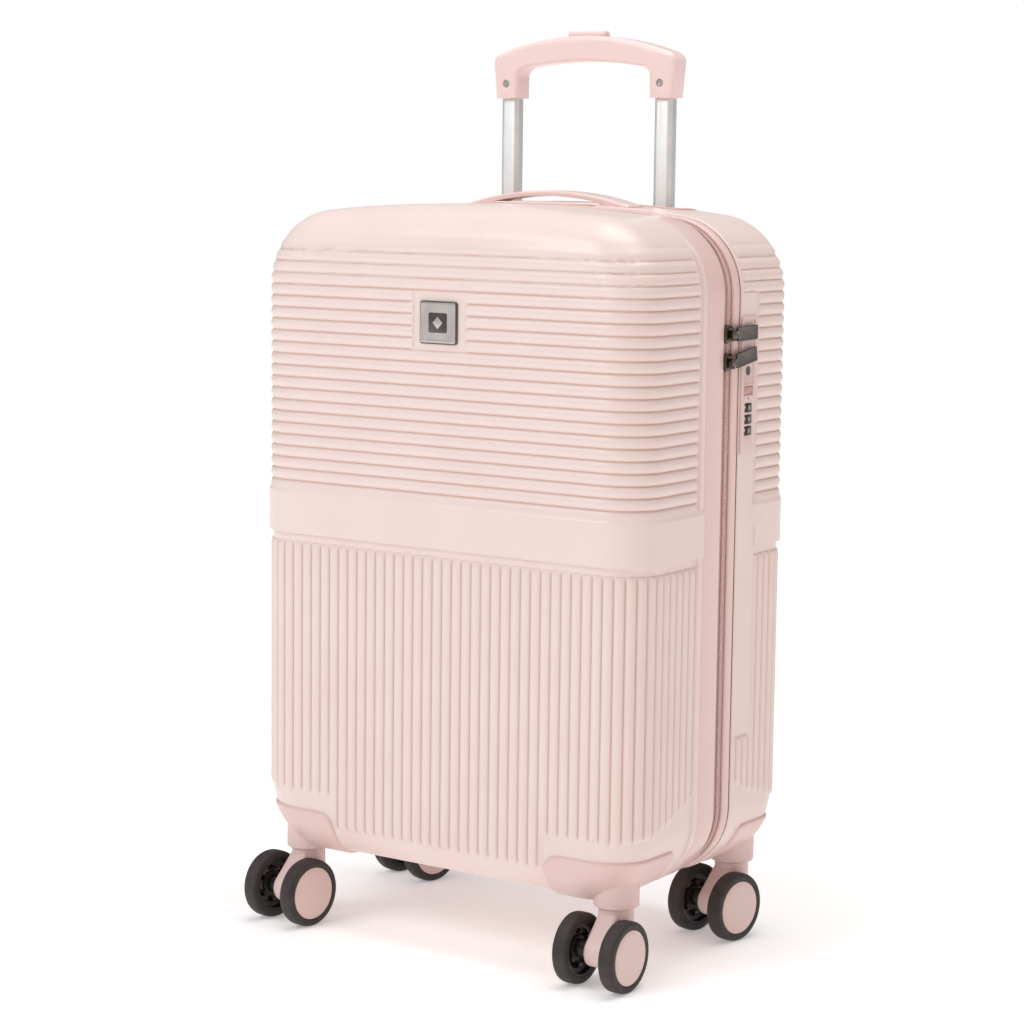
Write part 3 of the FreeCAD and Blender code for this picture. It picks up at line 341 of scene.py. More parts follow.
def rib_fields(points, side, sizes):
    """The four values that shape the ribs, for every point of a half's skin.

    across: distance across the ribs, a groove at each whole pitch; ends: distance inside the
    rib's rounded end; level: 1 where ribs are fully formed, 0 where the skin is smooth;
    step: how far the skin lies below the ribs' tops whether ribbed or not."""
    pitch = sizes.rib_pitch * 1000
    x, y, z = points[:, 0], points[:, 1], points[:, 2]
    depth = np.abs(y - MID_Y)
    upper = z > MID_Z
    beside = np.abs(x) > FACE_X + 1e-3
    round_case = across_lower(x, y)
    across = np.where(upper, z - sizes.first_groove * 1000, round_case - pitch / 2)
    low_end = np.where(round_case < 96, 82.5, 108.7) + 23 * np.clip((round_case - 150) / 95, 0, None) ** 2
    low_end = low_end + (GROUND - 58.0)
    ends = np.minimum(BAND_Z0 - RIB_GAP - z, z - low_end)
    level = np.where(upper, 1 - smooth_step(z, 528, 549), 1.0)
    step = np.zeros_like(z)
    if side < 0:
        lip = LIP_Y
        side_end = depth - lip
        badge = np.maximum(np.abs(x) - 22.0, np.abs(z - BADGE_Z) - 18.5)
        upper_end = np.where(beside, side_end, 99.0)
        upper_end = np.minimum(upper_end, np.where(depth > HALF_D - 1, badge - 1.2, 99.0))
        level = np.where((depth > HALF_D - 1) & (badge < 0), 0.0, level)
        step = np.where((depth > HALF_D - 1) & (badge < 0), sizes.rib_depth * 1000 * 0.75, step)
        open_y = FRONT_OPEN
        ridge = smooth_step(depth, lip - 1.8, lip - 0.8)
    else:
        panel = (x > 0) & beside & (depth < PANEL_Y) & (z > PANEL_Z0) & (z < PANEL_Z1)
        lip = REAR_OPEN + REAR_LIP
        side_end = np.where((x > 0) & (z > PANEL_Z0 - 1) & (z < PANEL_Z1), depth - PANEL_Y - 1.5, depth - lip)
        side_end = np.where((x > 0) & (z <= PANEL_Z0), np.maximum(depth - PANEL_Y, PANEL_Z0 - 3 - z), side_end)
        side_end = np.minimum(side_end, depth - lip)
        upper_end = np.where(beside, side_end, 99.0)
        level = np.where(panel, 0.0, level)
        open_y = REAR_OPEN
        ridge = smooth_step(depth, lip - 1.8, lip - 0.8)
        ends = np.where(beside & (x > 0), np.minimum(ends, side_end), ends)
    ends = np.where(upper, upper_end, ends)
    level = np.where(beside | (depth < EDGE_Y), level * ridge, level)
    over_band = np.where(upper, 1 - smooth_step(z, BAND_Z1, BAND_Z1 + 4.5), (z > BAND_Z0 - 0.05).astype(float))
    if side > 0:
        over_band = np.where(panel, 0.0, over_band)
    level = level * (1 - over_band)
    lip_round = np.clip((open_y + 1.2 - depth) / 1.2, 0, 1)
    step = step - BAND_PROUD * over_band + 1.2 * (1 - np.sqrt(1 - lip_round ** 2))
    return {"across": across, "ends": ends, "level": level, "step": step}


def rib_tree():
    """Sinks a skin into ribs: a rounded crest every pitch, with rounded rib ends; keeps each point's share of the
    groove's depth, from which shade is painted into the grooves.
    """
    tree = new_tree("Rib moulding", [("Pitch", "NodeSocketFloat"), ("Depth", "NodeSocketFloat"),
                                     ("Fullness", "NodeSocketFloat"), ("Finish", "NodeSocketMaterial")])
    given = tree.nodes.new("NodeGroupInput")

    def field(name):
        return add_node(tree, "GeometryNodeInputNamedAttribute", {"Name": name}, data_type="FLOAT").outputs[0]

    def maths(operation, one, two=0.0):
        return add_node(tree, "ShaderNodeMath", {0: one, 1: two}, operation=operation).outputs[0]

    share = maths("FRACT", maths("DIVIDE", field("across"), given.outputs["Pitch"]))
    from_crest = maths("ABSOLUTE", maths("SUBTRACT", maths("MULTIPLY", share, 2.0), 1.0))
    crest = maths("SUBTRACT", 1.0, maths("POWER", from_crest, given.outputs["Fullness"]))
    reach = maths("DIVIDE", field("ends"), maths("MULTIPLY", given.outputs["Pitch"], 0.5))
    reach = maths("MINIMUM", maths("MAXIMUM", reach, 0.0), 1.0)
    back = maths("SUBTRACT", 1.0, reach)
    nose = maths("SQRT", maths("SUBTRACT", 1.0, maths("MULTIPLY", back, back)))
    sunk = maths("SUBTRACT", 1.0, maths("MULTIPLY", crest, nose))
    sunk = maths("MULTIPLY", maths("MULTIPLY", sunk, given.outputs["Depth"]), field("level"))
    sunk = maths("ADD", sunk, field("step"))
    normal = add_node(tree, "GeometryNodeInputNormal").outputs["Normal"]
    offset = add_node(tree, "ShaderNodeVectorMath", {0: normal, "Scale": maths("MULTIPLY", sunk, -1.0)},
                      operation="SCALE").outputs["Vector"]
    moved = add_node(tree, "GeometryNodeSetPosition", {"Geometry": given.outputs["Geometry"], "Offset": offset})
    # share of the groove's depth at each point, kept as the attribute sunk: the shell material paints shade into the
    # grooves from it
    painted_groove_shade_share = maths("MULTIPLY", maths("MULTIPLY", maths("SUBTRACT", 1.0, crest), nose), field("level"))
    kept = add_node(tree, "GeometryNodeStoreNamedAttribute",
                    {"Geometry": moved.outputs["Geometry"], "Name": "sunk", "Value": painted_groove_shade_share},
                    data_type="FLOAT", domain="POINT")
    end_tree(tree, kept.outputs["Geometry"], given.outputs["Finish"])
    return tree


def end_tree(tree, geometry, finish):
    """Realize Instances, Set Material and the tree's output."""
    real = add_node(tree, "GeometryNodeRealizeInstances", {"Geometry": geometry})
    painted = add_node(tree, "GeometryNodeSetMaterial", {"Geometry": real.outputs["Geometry"], "Material": finish})
    add_node(tree, "NodeGroupOutput", {"Geometry": painted.outputs["Geometry"]})


def half_skin(side, sizes):
    """Skin of one half of the case at the height of the ribs' tops, cut where the ribs need it."""
    pitch = sizes.rib_pitch * 1000
    first = sizes.first_groove * 1000
    quarter = math.pi / 2
    open_y = FRONT_OPEN if side < 0 else REAR_OPEN
    lip = LIP_Y if side < 0 else REAR_OPEN + REAR_LIP
    skin = Skin(side)

    def ring(place, steps):
        return [skin_point(place, y, inset, side) for y, inset in steps]

    def face_edge(places):
        return [skin_point(place, HALF_D, EDGE_R, side) for place in places]

    def face_point(x, z):
        return (x, MID_Y + side * HALF_D, z)

    # steps from the open edge to the face: upper, lower and coarse
    lips = [open_y + 0.15, open_y + 0.5, open_y + 1.2, lip - 1.8, lip - 1.3, lip - 0.8]
    nose = [lip + 0.3, lip + 1.2, lip + 2.8, lip + 4.5, 46.0, 55.0, 64.0, 73.0]
    if side > 0:
        nose += [26.0, 44.5, PANEL_Y, PANEL_Y + 1.5, PANEL_Y + 1.8, PANEL_Y + 2.8, PANEL_Y + 4.4, 67.4]
    upper = edge_steps(open_y, lips + nose, [quarter * i / 20 for i in range(1, 21)])
    start = FACE_X + EDGE_R * quarter
    beside = rib_levels(start, start + EDGE_Y - open_y, pitch / 2, pitch)
    bent = rib_levels(FACE_X, start, pitch / 2, pitch)
    turns = sorted(quarter - (value - FACE_X) / EDGE_R for value in bent)[1:]
    lower = edge_steps(open_y, lips + [EDGE_Y - (value - start) for value in beside], turns)
    floor_turns = [quarter * i / 12 for i in range(1, 10)]
    floor_turns += [math.radians(a) for a in (70, 72, 73.2, 74.4, 76, 78.5, 81.5)] + turns[-2:]
    coarse = edge_steps(open_y, lips + [40.0, 50.0, 60.0, 70.0], floor_turns)
    # upper part: belt, top corners and crown
    rows_up = sorted(rib_levels(MID_Z + 2, HIGH_Z, first, pitch) + [BAND_Z1, BAND_Z1 + 0.6, BAND_Z1 + 3.4])
    corner = [math.asin((z - HIGH_Z) / CORNER_R) for z in rib_levels(HIGH_Z, HIGH_Z + 37, first, pitch)[1:]]
    corner += [corner[-1] + (LEAN - corner[-1]) * i / 10 for i in range(1, 11)]
    edge = CROWN_R * math.cos(LEAN)
    crown = {edge * (1 - i / 8) for i in range(17)}
    if side > 0:
        crown |= {-95.0, -49.5, 49.5, 95.0}
    crown = sorted(crown, reverse=True)
    few = [LEAN * i / 26 for i in range(27)]
    for hand, order in (("right", 1), ("left", -1)):
        belt = [(hand, z) for z in rows_up]
        turn = [(hand, HIGH_Z)] + [("top_" + hand, a) for a in corner]
        skin.grid([ring(place, upper) for place in belt])
        skin.grid([ring(place, upper[:-1]) for place in turn])
        skin.strip([ring(place, upper)[-2] for place in turn], face_edge([("top_" + hand, a) for a in few]))
    skin.grid([ring(("crown", x), upper) for x in crown])
    face_top = face_edge([("top_right", a) for a in few[:-1]] + [("crown", x) for x in crown]
                         + [("top_left", a) for a in reversed(few[:-1])])
    # lower part: belt, bottom corners and floor
    rows_low = [MID_Z - 2, BAND_Z0 + 3, BAND_Z0, BAND_Z0 - 0.1]
    rows_low += [BAND_Z0 - RIB_GAP + d for d in (3, 0.3, 0, -0.3, -1.0, -2.2, -4.45)] + [280, 250, 220, 190]
    rows_low += [PANEL_Z0 + d for d in (1, 0, -3, -3.4, -5, -8)] + list(np.arange(152, LOW_Z, -2.0)) + [LOW_Z]
    dense = [math.asin((LOW_Z - GROUND - up) / CORNER_R) for up in (56, 54.5, 53, 52, 51.3, 50.7, 50.2, 49)]
    sparse = [dense[-1] + (quarter - dense[-1]) * i / 11 for i in range(1, 12)]
    face_low = [x for x in rib_levels(0, FACE_X, pitch / 2, pitch) if x <= FACE_X]
    bend = [math.acos((x - CORNER_X) / FACE_R) for x in reversed(face_low) if x > CORNER_X + 0.5]
    floor = [x for x in reversed(face_low) if x < CORNER_X - 0.5]
    floor = [CORNER_X] + floor + [-x for x in reversed(floor[:-1])] + [-CORNER_X]
    for hand in ("right", "left"):
        belt = [(hand, z) for z in rows_low]
        turn = [(hand, LOW_Z)] + [("low_" + hand, a) for a in dense]
        rest = [("low_" + hand, a) for a in sparse]
        skin.grid([ring(place, lower) for place in belt])
        skin.grid([ring(place, lower[:-1]) for place in turn])
        skin.strip(ring(turn[-1], lower)[:-1], ring(rest[0], coarse)[:-1])
        skin.grid([ring(place, coarse[:-1]) for place in rest])
        skin.strip([ring(place, lower)[-2] for place in turn + rest],
                   face_edge([("low_" + hand, a) for a in bend + [quarter]]))
    skin.grid([ring(("floor", x), coarse) for x in floor])
    face_bottom = face_edge([("low_right", a) for a in bend] + [("floor", x) for x in floor]
                            + [("low_left", a) for a in reversed(bend)])
    # the flat face, in columns from the belt up and down
    shelf = rows_up[-1]
    badge_x = (22.0, 22.4, 23.2, 23.6, 24.4, 26.0, 27.6)
    tops = {round(p[0], 6): p[2] for p in face_top}
    if side < 0:
        for x in badge_x:
            for hand in (-1, 1):
                tops[hand * x] = TOP - CROWN_R + math.sqrt((CROWN_R - EDGE_R) ** 2 - x * x)
    belt_x = [x for x in sorted(tops) if abs(x) < CORNER_X] + [-FACE_X, -CORNER_X, CORNER_X, FACE_X]
    belt_x = sorted(belt_x)
    skin.grid([[face_point(x, z) for x in belt_x] for z in rows_up[:-1]])
    skin.strip([face_point(x, rows_up[-2]) for x in belt_x], [face_point(x, shelf) for x in sorted(tops)])
    skin.grid([[face_point(x, shelf + (tops[x] - shelf) * i / 28) for x in sorted(tops)] for i in range(29)])
    skin.grid([[face_point(p[0], z) for p in face_bottom] for z in rows_low])
    skin.grid([[face_point(p[0], LOW_Z + (p[2] - LOW_Z) * i / 12) for p in face_bottom] for i in range(13)])
    # the middle of the waist band joins the upper and lower columns
    for hand in ("right", "left"):
        skin.strip(ring((hand, rows_up[0]), upper), ring((hand, rows_low[0]), lower))
    skin.strip([face_point(x, rows_up[0]) for x in reversed(belt_x)],
               [face_point(p[0], rows_low[0]) for p in face_bottom])
    return skin.mesh("half")


def set_fields(mesh, fields):
    for name, values in fields.items():
        layer = mesh.attributes.get(name) or mesh.attributes.new(name, "FLOAT", "POINT")
        layer.data.foreach_set("value", values.astype(np.float32))


def mesh_points(mesh):
    points = np.zeros(len(mesh.vertices) * 3)
    mesh.vertices.foreach_get("co", points)
    return points.reshape(-1, 3)


def cut_holes(mesh, holes):
    """Delete the faces whose middle lies in one of the boxes, each (low corner, high corner)."""
    bm = bmesh.new()
    bm.from_mesh(mesh)
    gone = []
    for face in bm.faces:
        middle = face.calc_center_median()
        if any(all(a < m < b for a, m, b in zip(low, middle, high)) for low, high in holes):
            gone.append(face)
    bmesh.ops.delete(bm, geom=gone, context="FACES")
    bm.to_mesh(mesh)
    bm.free()


# ---- outlines, lofts and turned shapes --------------------------------------------------
def outline_loop(step=3.0):
    """Places all the way round the case's outline, anticlockwise as seen from the front."""
    edge = CROWN_R * math.cos(LEAN)
    places = spread("right", LOW_Z, HIGH_Z, step) + spread("top_right", 0, LEAN, step / CORNER_R)
    places += spread("crown", edge, -edge, step) + spread("top_left", LEAN, 0, step / CORNER_R)
    places += spread("left", HIGH_Z, LOW_Z, step) + spread("low_left", 0, math.pi / 2, step / CORNER_R)
    places += spread("floor", -CORNER_X, CORNER_X, step) + spread("low_right", math.pi / 2, 0, step / CORNER_R)
    return places


def spread(kind, start, end, step):
    """Places of one kind from start up to, but without, end."""
    count = max(2, math.ceil(abs(end - start) / step))
    return [(kind, start + (end - start) * i / count) for i in range(count)]


def loop_from_hinge():
    """The outline's places from the fabric hinge's lower end round to its upper end."""
    low, high = frame_box("hinge_tape")[0].z, frame_box("hinge_tape")[1].z
    places = outline_loop()
    kept = [p for p in places if not (p[0] == "left" and low - 4 < p[1] < high + 4)]
    cut = max(i for i, p in enumerate(kept) if p[0] == "left" and p[1] > high) + 1
    return [("left", low - 0.6)] + kept[cut:] + kept[:cut] + [("left", high + 0.6)]


def sweep_outline(name, section, places, closed):
    """Carry a closed section of (y, inset) points round the outline; UV map Run is in millimetres."""
    points, faces, runs = [], [], []
    run = 0.0
    rings = places + places[:1] if closed else places
    last = None
    for place in rings:
        ring = [Vector(skin_point(place, y, inset, 1)) for y, inset in section]
        run += (ring[0] - last).length if last else 0.0
        last = ring[0]
        points += ring
        runs += [(run, y) for y, inset in section]
    width = len(section)
    for r in range(len(rings) - 1):
        for c in range(width):
            d = (c + 1) % width
            faces.append((r * width + c, r * width + d, (r + 1) * width + d, (r + 1) * width + c))
    if not closed:
        faces.append(tuple(reversed(range(width))))
        faces.append(tuple(range(len(points) - width, len(points))))
    bm = bmesh.new()
    verts = [bm.verts.new(p) for p in points]
    layer = bm.loops.layers.uv.new("Run")
    for face in faces:
        made = bm.faces.new([verts[i] for i in face])
        for loop, i in zip(made.loops, face):
            loop[layer].uv = runs[i]
    bmesh.ops.remove_doubles(bm, verts=bm.verts, dist=0.002)
    bmesh.ops.recalc_face_normals(bm, faces=bm.faces)
    mesh = bpy.data.meshes.new(name)
    bm.to_mesh(mesh)
    bm.free()
    mesh.shade_smooth()
    mesh.set_sharp_from_angle(angle=math.radians(50))
    return mesh


def rounded_outline(half_w, half_h, radius, steps=6):
    """Points of a rounded rectangle about the origin, anticlockwise."""
    points = []
    for turn, (sx, sy) in enumerate(((1, 1), (-1, 1), (-1, -1), (1, -1))):
        for i in range(steps + 1):
            angle = math.pi / 2 * (turn + i / steps)
            points.append((sx * (half_w - radius) + radius * math.cos(angle),
                           sy * (half_h - radius) + radius * math.sin(angle)))
    return points


def loft(name, rings, cap_start=True, cap_end=True, angle=40):
    """Mesh through rings of points of equal number, with its ends closed if asked."""
    width = len(rings[0])
    points = [p for ring in rings for p in ring]
    faces = []
    for r in range(len(rings) - 1):
        for c in range(width):
            d = (c + 1) % width
            faces.append((r * width + c, r * width + d, (r + 1) * width + d, (r + 1) * width + c))
    if cap_start:
        faces.append(tuple(reversed(range(width))))
    if cap_end:
        faces.append(tuple(range(len(points) - width, len(points))))
    return closed_mesh(name, points, faces, angle)


def closed_mesh(name, points, faces, angle=40):
    """Welded mesh whose normals point outwards, sharp only past the angle."""
    bm = bmesh.new()
    verts = [bm.verts.new(p) for p in points]
    for face in faces:
        bm.faces.new([verts[i] for i in face])
    bmesh.ops.remove_doubles(bm, verts=bm.verts, dist=0.002)
    bmesh.ops.dissolve_degenerate(bm, edges=bm.edges, dist=0.001)
    bmesh.ops.recalc_face_normals(bm, faces=bm.faces)
    mesh = bpy.data.meshes.new(name)
    bm.to_mesh(mesh)
    bm.free()
    mesh.shade_smooth()
    mesh.set_sharp_from_angle(angle=math.radians(angle))
    return mesh


def turned(name, profile, steps=72, closed=True, angle=40):
    """Mesh of a profile of (along, radius) points turned round the X axis."""
    rings = []
    for i in range(steps):
        angle_i = 2 * math.pi * i / steps
        rings.append([(a, r * math.cos(angle_i), r * math.sin(angle_i)) for a, r in profile])
    width = len(profile)
    points = [p for ring in rings for p in ring]
    faces = []
    for r in range(steps):
        s = (r + 1) % steps
        for c in range(width if closed else width - 1):
            d = (c + 1) % width
            faces.append((r * width + c, r * width + d, s * width + d, s * width + c))
    return closed_mesh(name, points, faces, angle)


def from_cad(node, soft_edge=0.0, angle=35):
    """Copy of a CAD node in millimetres: welded, flats made whole, edges softened."""
    bm = bmesh.new()
    bm.from_mesh(frame["nodes"][node].data)
    bmesh.ops.scale(bm, vec=(1000, 1000, 1000), verts=bm.verts)
    bmesh.ops.remove_doubles(bm, verts=bm.verts, dist=0.003)
    bmesh.ops.dissolve_degenerate(bm, edges=bm.edges, dist=0.003)
    bmesh.ops.dissolve_limit(bm, angle_limit=math.radians(0.6), verts=bm.verts, edges=bm.edges)
    mesh = bpy.data.meshes.new(node)
    bm.to_mesh(mesh)
    bm.free()
    mesh.materials.clear()
    mesh.shade_smooth()
    piece = new_object(node + "_look", mesh)
    if soft_edge:
        bevel = piece.modifiers.new("soft edges", "BEVEL")
        bevel.width = soft_edge
        bevel.segments = 2
        bevel.limit_method = "ANGLE"
        bevel.angle_limit = math.radians(angle)
        settle(piece)
    piece.data.shade_smooth()
    piece.data.set_sharp_from_angle(angle=math.radians(angle))
    return piece


def paint(piece, *materials):
    """Give a piece its materials, the first one on every face that has none of its own."""
    for material in materials:
        piece.data.materials.append(material)
    return piece


def carry_over(node, body, slot, material, soft_edge=0.0, angle=35):
    """Finish a piece whose shape is the CAD node's own, with soft edges and a real surface."""
    piece = paint(from_cad(node, soft_edge, angle), material)
    return finish_piece(piece, body, slot, node)


def with_wall(piece, thickness, offset=-1):
    """Give an open skin its wall."""
    wall = piece.modifiers.new("wall", "SOLIDIFY")
    wall.thickness = thickness
    wall.offset = offset
    wall.use_even_offset = False
    return settle(piece)


# ---- materials --------------------------------------------------------------------------
def blank_material(name, colour, roughness, metallic=0.0):
    """New material with its shader's plain values set; returns it, its tree and its shader."""
    if name in bpy.data.materials:
        return None
    material = bpy.data.materials.new(name)
    material.use_nodes = True
    shader = material.node_tree.nodes["Principled BSDF"]
    shader.inputs["Base Color"].default_value = linear(colour)
    shader.inputs["Roughness"].default_value = roughness
    shader.inputs["Metallic"].default_value = metallic
    return material, material.node_tree, shader


def mottle(tree, size_mm, detail, where):
    """Noise at a real size in millimetres, on the given coordinates."""
    return add_node(tree, "ShaderNodeTexNoise", {"Vector": where, "Scale": 1000 / size_mm, "Detail": detail,
                                                 "Roughness": 0.55}).outputs["Fac"]


def between(tree, amount, low, high, start=0.3, end=0.7):
    """Value that goes from low to high as amount goes from start to end."""
    return add_node(tree, "ShaderNodeMapRange", {"Value": amount, "From Min": start, "From Max": end,
                                                 "To Min": low, "To Max": high}).outputs["Result"]


def blend_colours(tree, amount, one, two):
    mix = add_node(tree, "ShaderNodeMix", {0: amount}, data_type="RGBA")
    for socket, value in ((mix.inputs[6], one), (mix.inputs[7], two)):
        if isinstance(value, bpy.types.NodeSocket):
            tree.links.new(value, socket)
        else:
            socket.default_value = linear(value)
    return mix.outputs[2]


def raise_surface(tree, shader, height, depth_mm, strength):
    bump = add_node(tree, "ShaderNodeBump", {"Height": height, "Distance": depth_mm / 1000,
                                             "Strength": strength})
    tree.links.new(bump.outputs["Normal"], shader.inputs["Normal"])


def moulded_plastic(name, colour, deep, roughness, grain_mm=0.9, grain_depth=0.05, coat=0.0, grooved=False):
    """ABS or polycarbonate from a textured mould: faint clouding in the colour and a fine leathery
    grain in the gloss; where it is ribbed, painted shade in the grooves, the deep colour mixed in by how far the skin
    is sunk."""
    made = blank_material(name, colour, roughness)
    if not made:
        return bpy.data.materials[name]
    material, tree, shader = made
    shader.inputs["IOR"].default_value = 1.53
    shader.inputs["Coat Weight"].default_value = coat
    shader.inputs["Coat Roughness"].default_value = 0.18
    where = add_node(tree, "ShaderNodeTexCoord").outputs["Object"]
    cloud = mottle(tree, 55, 3, where)
    surface = blend_colours(tree, between(tree, cloud, 0.0, 0.14), colour, deep)
    # painted shade: the deeper a point sits in a groove, the more of the deep colour it takes
    if grooved:
        sunk = add_node(tree, "ShaderNodeAttribute", attribute_name="sunk").outputs["Fac"]
        surface = blend_colours(tree, between(tree, sunk, 0.0, 1.0, 0.35, 1.0), surface, deep)
    tree.links.new(surface, shader.inputs["Base Color"])
    grain = mottle(tree, grain_mm, 2, where)
    tree.links.new(between(tree, grain, roughness - 0.02, roughness + 0.03), shader.inputs["Roughness"])
    raise_surface(tree, shader, grain, grain_depth, 0.2)
    return material


def woven_cloth(name, colour, deep, thread_mm, sheen=0.3):
    """Woven polyester: a plain weave, drawn at the given thread spacing so that it shows; the weave's low parts take
    the deep colour as painted shade between the threads.
    """
    made = blank_material(name, colour, 0.82)
    if not made:
        return bpy.data.materials[name]
    material, tree, shader = made
    shader.inputs["Sheen Weight"].default_value = sheen
    run = add_node(tree, "ShaderNodeUVMap", uv_map="Run").outputs["UV"]
    parts = add_node(tree, "ShaderNodeSeparateXYZ", {"Vector": run})
    waves = []
    for axis in ("X", "Y"):
        turn = add_node(tree, "ShaderNodeMath", {0: parts.outputs[axis], 1: 2 * math.pi / thread_mm},
                        operation="MULTIPLY").outputs[0]
        waves.append(add_node(tree, "ShaderNodeMath", {0: turn}, operation="SINE").outputs[0])
    weave = add_node(tree, "ShaderNodeMath", {0: waves[0], 1: waves[1]}, operation="MULTIPLY").outputs[0]
    height = between(tree, weave, 0.0, 1.0, -1.0, 1.0)
    where = add_node(tree, "ShaderNodeTexCoord").outputs["Object"]
    fade = mottle(tree, 18, 3, where)
    worn = blend_colours(tree, between(tree, fade, 0.0, 0.4), colour, deep)
    # painted shade: the low parts of the weave, between the threads, take the deep colour
    tree.links.new(blend_colours(tree, height, deep, worn), shader.inputs["Base Color"])
    raise_surface(tree, shader, height, thread_mm * 0.35, 0.6)
    return material


def worked_metal(name, colour, deep, roughness, stretch=(1, 1, 1), line_mm=0.6, strength=0.15):
    """Metal with the marks of its making: brushed lines if stretched, a soft cast grain if not."""
    made = blank_material(name, colour, roughness, metallic=1.0)
    if not made:
        return bpy.data.materials[name]
    material, tree, shader = made
    where = add_node(tree, "ShaderNodeTexCoord").outputs["Object"]
    drawn = add_node(tree, "ShaderNodeMapping", {"Vector": where, "Scale": stretch}).outputs["Vector"]
    lines = mottle(tree, line_mm, 2, drawn)
    haze = mottle(tree, 14, 3, where)
    surface = blend_colours(tree, between(tree, haze, 0.0, 0.5), colour, deep)
    tree.links.new(surface, shader.inputs["Base Color"])
    tree.links.new(between(tree, lines, roughness - 0.07, roughness + 0.1), shader.inputs["Roughness"])
    raise_surface(tree, shader, lines, 0.03, strength)
    return material


def rubber_tyre(name, colour, dust):
    """Cast polyurethane: dull black-brown with floor dust pressed into its tread."""
    made = blank_material(name, colour, 0.6)
    if not made:
        return bpy.data.materials[name]
    material, tree, shader = made
    where = add_node(tree, "ShaderNodeTexCoord").outputs["Object"]
    patches = mottle(tree, 9, 4, where)
    grit = mottle(tree, 0.7, 2, where)
    amount = add_node(tree, "ShaderNodeMath", {0: between(tree, patches, 0.0, 0.8, 0.35, 0.75),
                                               1: between(tree, grit, 0.2, 1.0)}, operation="MULTIPLY").outputs[0]
    tree.links.new(blend_colours(tree, amount, colour, dust), shader.inputs["Base Color"])
    tree.links.new(between(tree, grit, 0.5, 0.72), shader.inputs["Roughness"])
    raise_surface(tree, shader, grit, 0.12, 0.4)
    return material


def finishes():
    """All of the suitcase's materials, by the name of the finish."""
    c = bpy.context.scene.suitcase_colours
    return {
        # grooved: the shell's grooves are darkened with painted shade
        "shell": moulded_plastic("vacuum_formed_polycarbonate", c.shell, c.shell_deep, 0.34, 1.1, 0.04, grooved=True),
        "rim": moulded_plastic("polished_abs_rim", c.rim, c.rim_deep, 0.28, 0.6, 0.002, coat=0.3),
        "guard": moulded_plastic("moulded_abs_guard", c.guard, c.guard_deep, 0.36),
        "fork": moulded_plastic("moulded_nylon_fork", c.fork, c.guard, 0.4),
        "grip": moulded_plastic("moulded_abs_grip", c.grip, c.grip_deep, 0.3, coat=0.15),
        "cap": moulded_plastic("pearl_abs_cap", c.cap, c.cap_deep, 0.3, coat=0.3),
        "lock": moulded_plastic("satin_abs_lock_plate", c.lock_plate, c.guard_deep, 0.35),
        "button": moulded_plastic("moulded_abs_button", c.button, c.button_deep, 0.3),
        "inner": moulded_plastic("moulded_polypropylene", c.guard, c.guard_deep, 0.5),
        "dial": moulded_plastic("black_abs_dial", c.dial, "#211c1a", 0.35),
        "core": moulded_plastic("black_nylon_core", c.core, "#0e0c0b", 0.42),
        "ink": moulded_plastic("white_printed_ink", "#e9e4e0", "#cfc8c3", 0.5),
        "enamel": moulded_plastic("dark_enamel", "#443d39", "#2d2725", 0.28, coat=0.4),
        "tape": woven_cloth("woven_zip_tape", c.tape, c.tape_deep, 1.1),
        "lining": woven_cloth("woven_polyester_lining", c.lining, c.lining_deep, 1.6),
        "coil": moulded_plastic("nylon_zip_coil", c.coil, c.tape_deep, 0.38),
        "thread": moulded_plastic("polyester_thread", c.coil, c.tape_deep, 0.7),
        "aluminium": worked_metal("anodised_aluminium", "#ececeb", "#dededd", 0.52, (1, 1, 0.02), 0.5),
        "steel": worked_metal("zinc_plated_steel", "#c3bfba", "#9a9590", 0.36),
        "gunmetal": worked_metal("black_nickel_zinc", c.pull, c.pull_deep, 0.3, line_mm=1.2),
        "nickel": worked_metal("brushed_nickel", "#cfc8c5", "#b0a8a5", 0.33, (0.02, 1, 1), 0.4),
        "tyre": rubber_tyre("cast_polyurethane", c.tyre, c.tyre_dust),
    }


# ---- sizes and colours ------------------------------------------------------------------
def colour_property(name, description, default):
    return StringProperty(name=name, description=description + ", as sRGB hex", default=default)


class SuitcaseSizes(bpy.types.PropertyGroup):
    rib_pitch: FloatProperty(name="Rib pitch", description="Groove to groove", default=0.008905,
                             unit="LENGTH", precision=5)
    first_groove: FloatProperty(name="Lowest level groove", description="Its height above the floor",
                                default=0.3533, unit="LENGTH", precision=4)
    rib_depth: FloatProperty(name="Rib depth", description="Crest to groove", default=0.0019, unit="LENGTH",
                             precision=4)
    rib_fullness: FloatProperty(name="Rib fullness", description="Higher is rounder and fuller", default=2.4)
    wall: FloatProperty(name="Shell wall", description="Thickness of the moulded shells", default=0.0012,
                        unit="LENGTH", precision=4)
    tooth_pitch: FloatProperty(name="Zip tooth pitch", description="Loop to loop of the zip's coil",
                               default=0.0017, unit="LENGTH", precision=4)
    stitch_pitch: FloatProperty(name="Stitch pitch", description="Start to start of the tape's stitches",
                                default=0.0032, unit="LENGTH", precision=4)
    spokes: IntProperty(name="Wheel spokes", description="Spokes of each wheel's core", default=6)


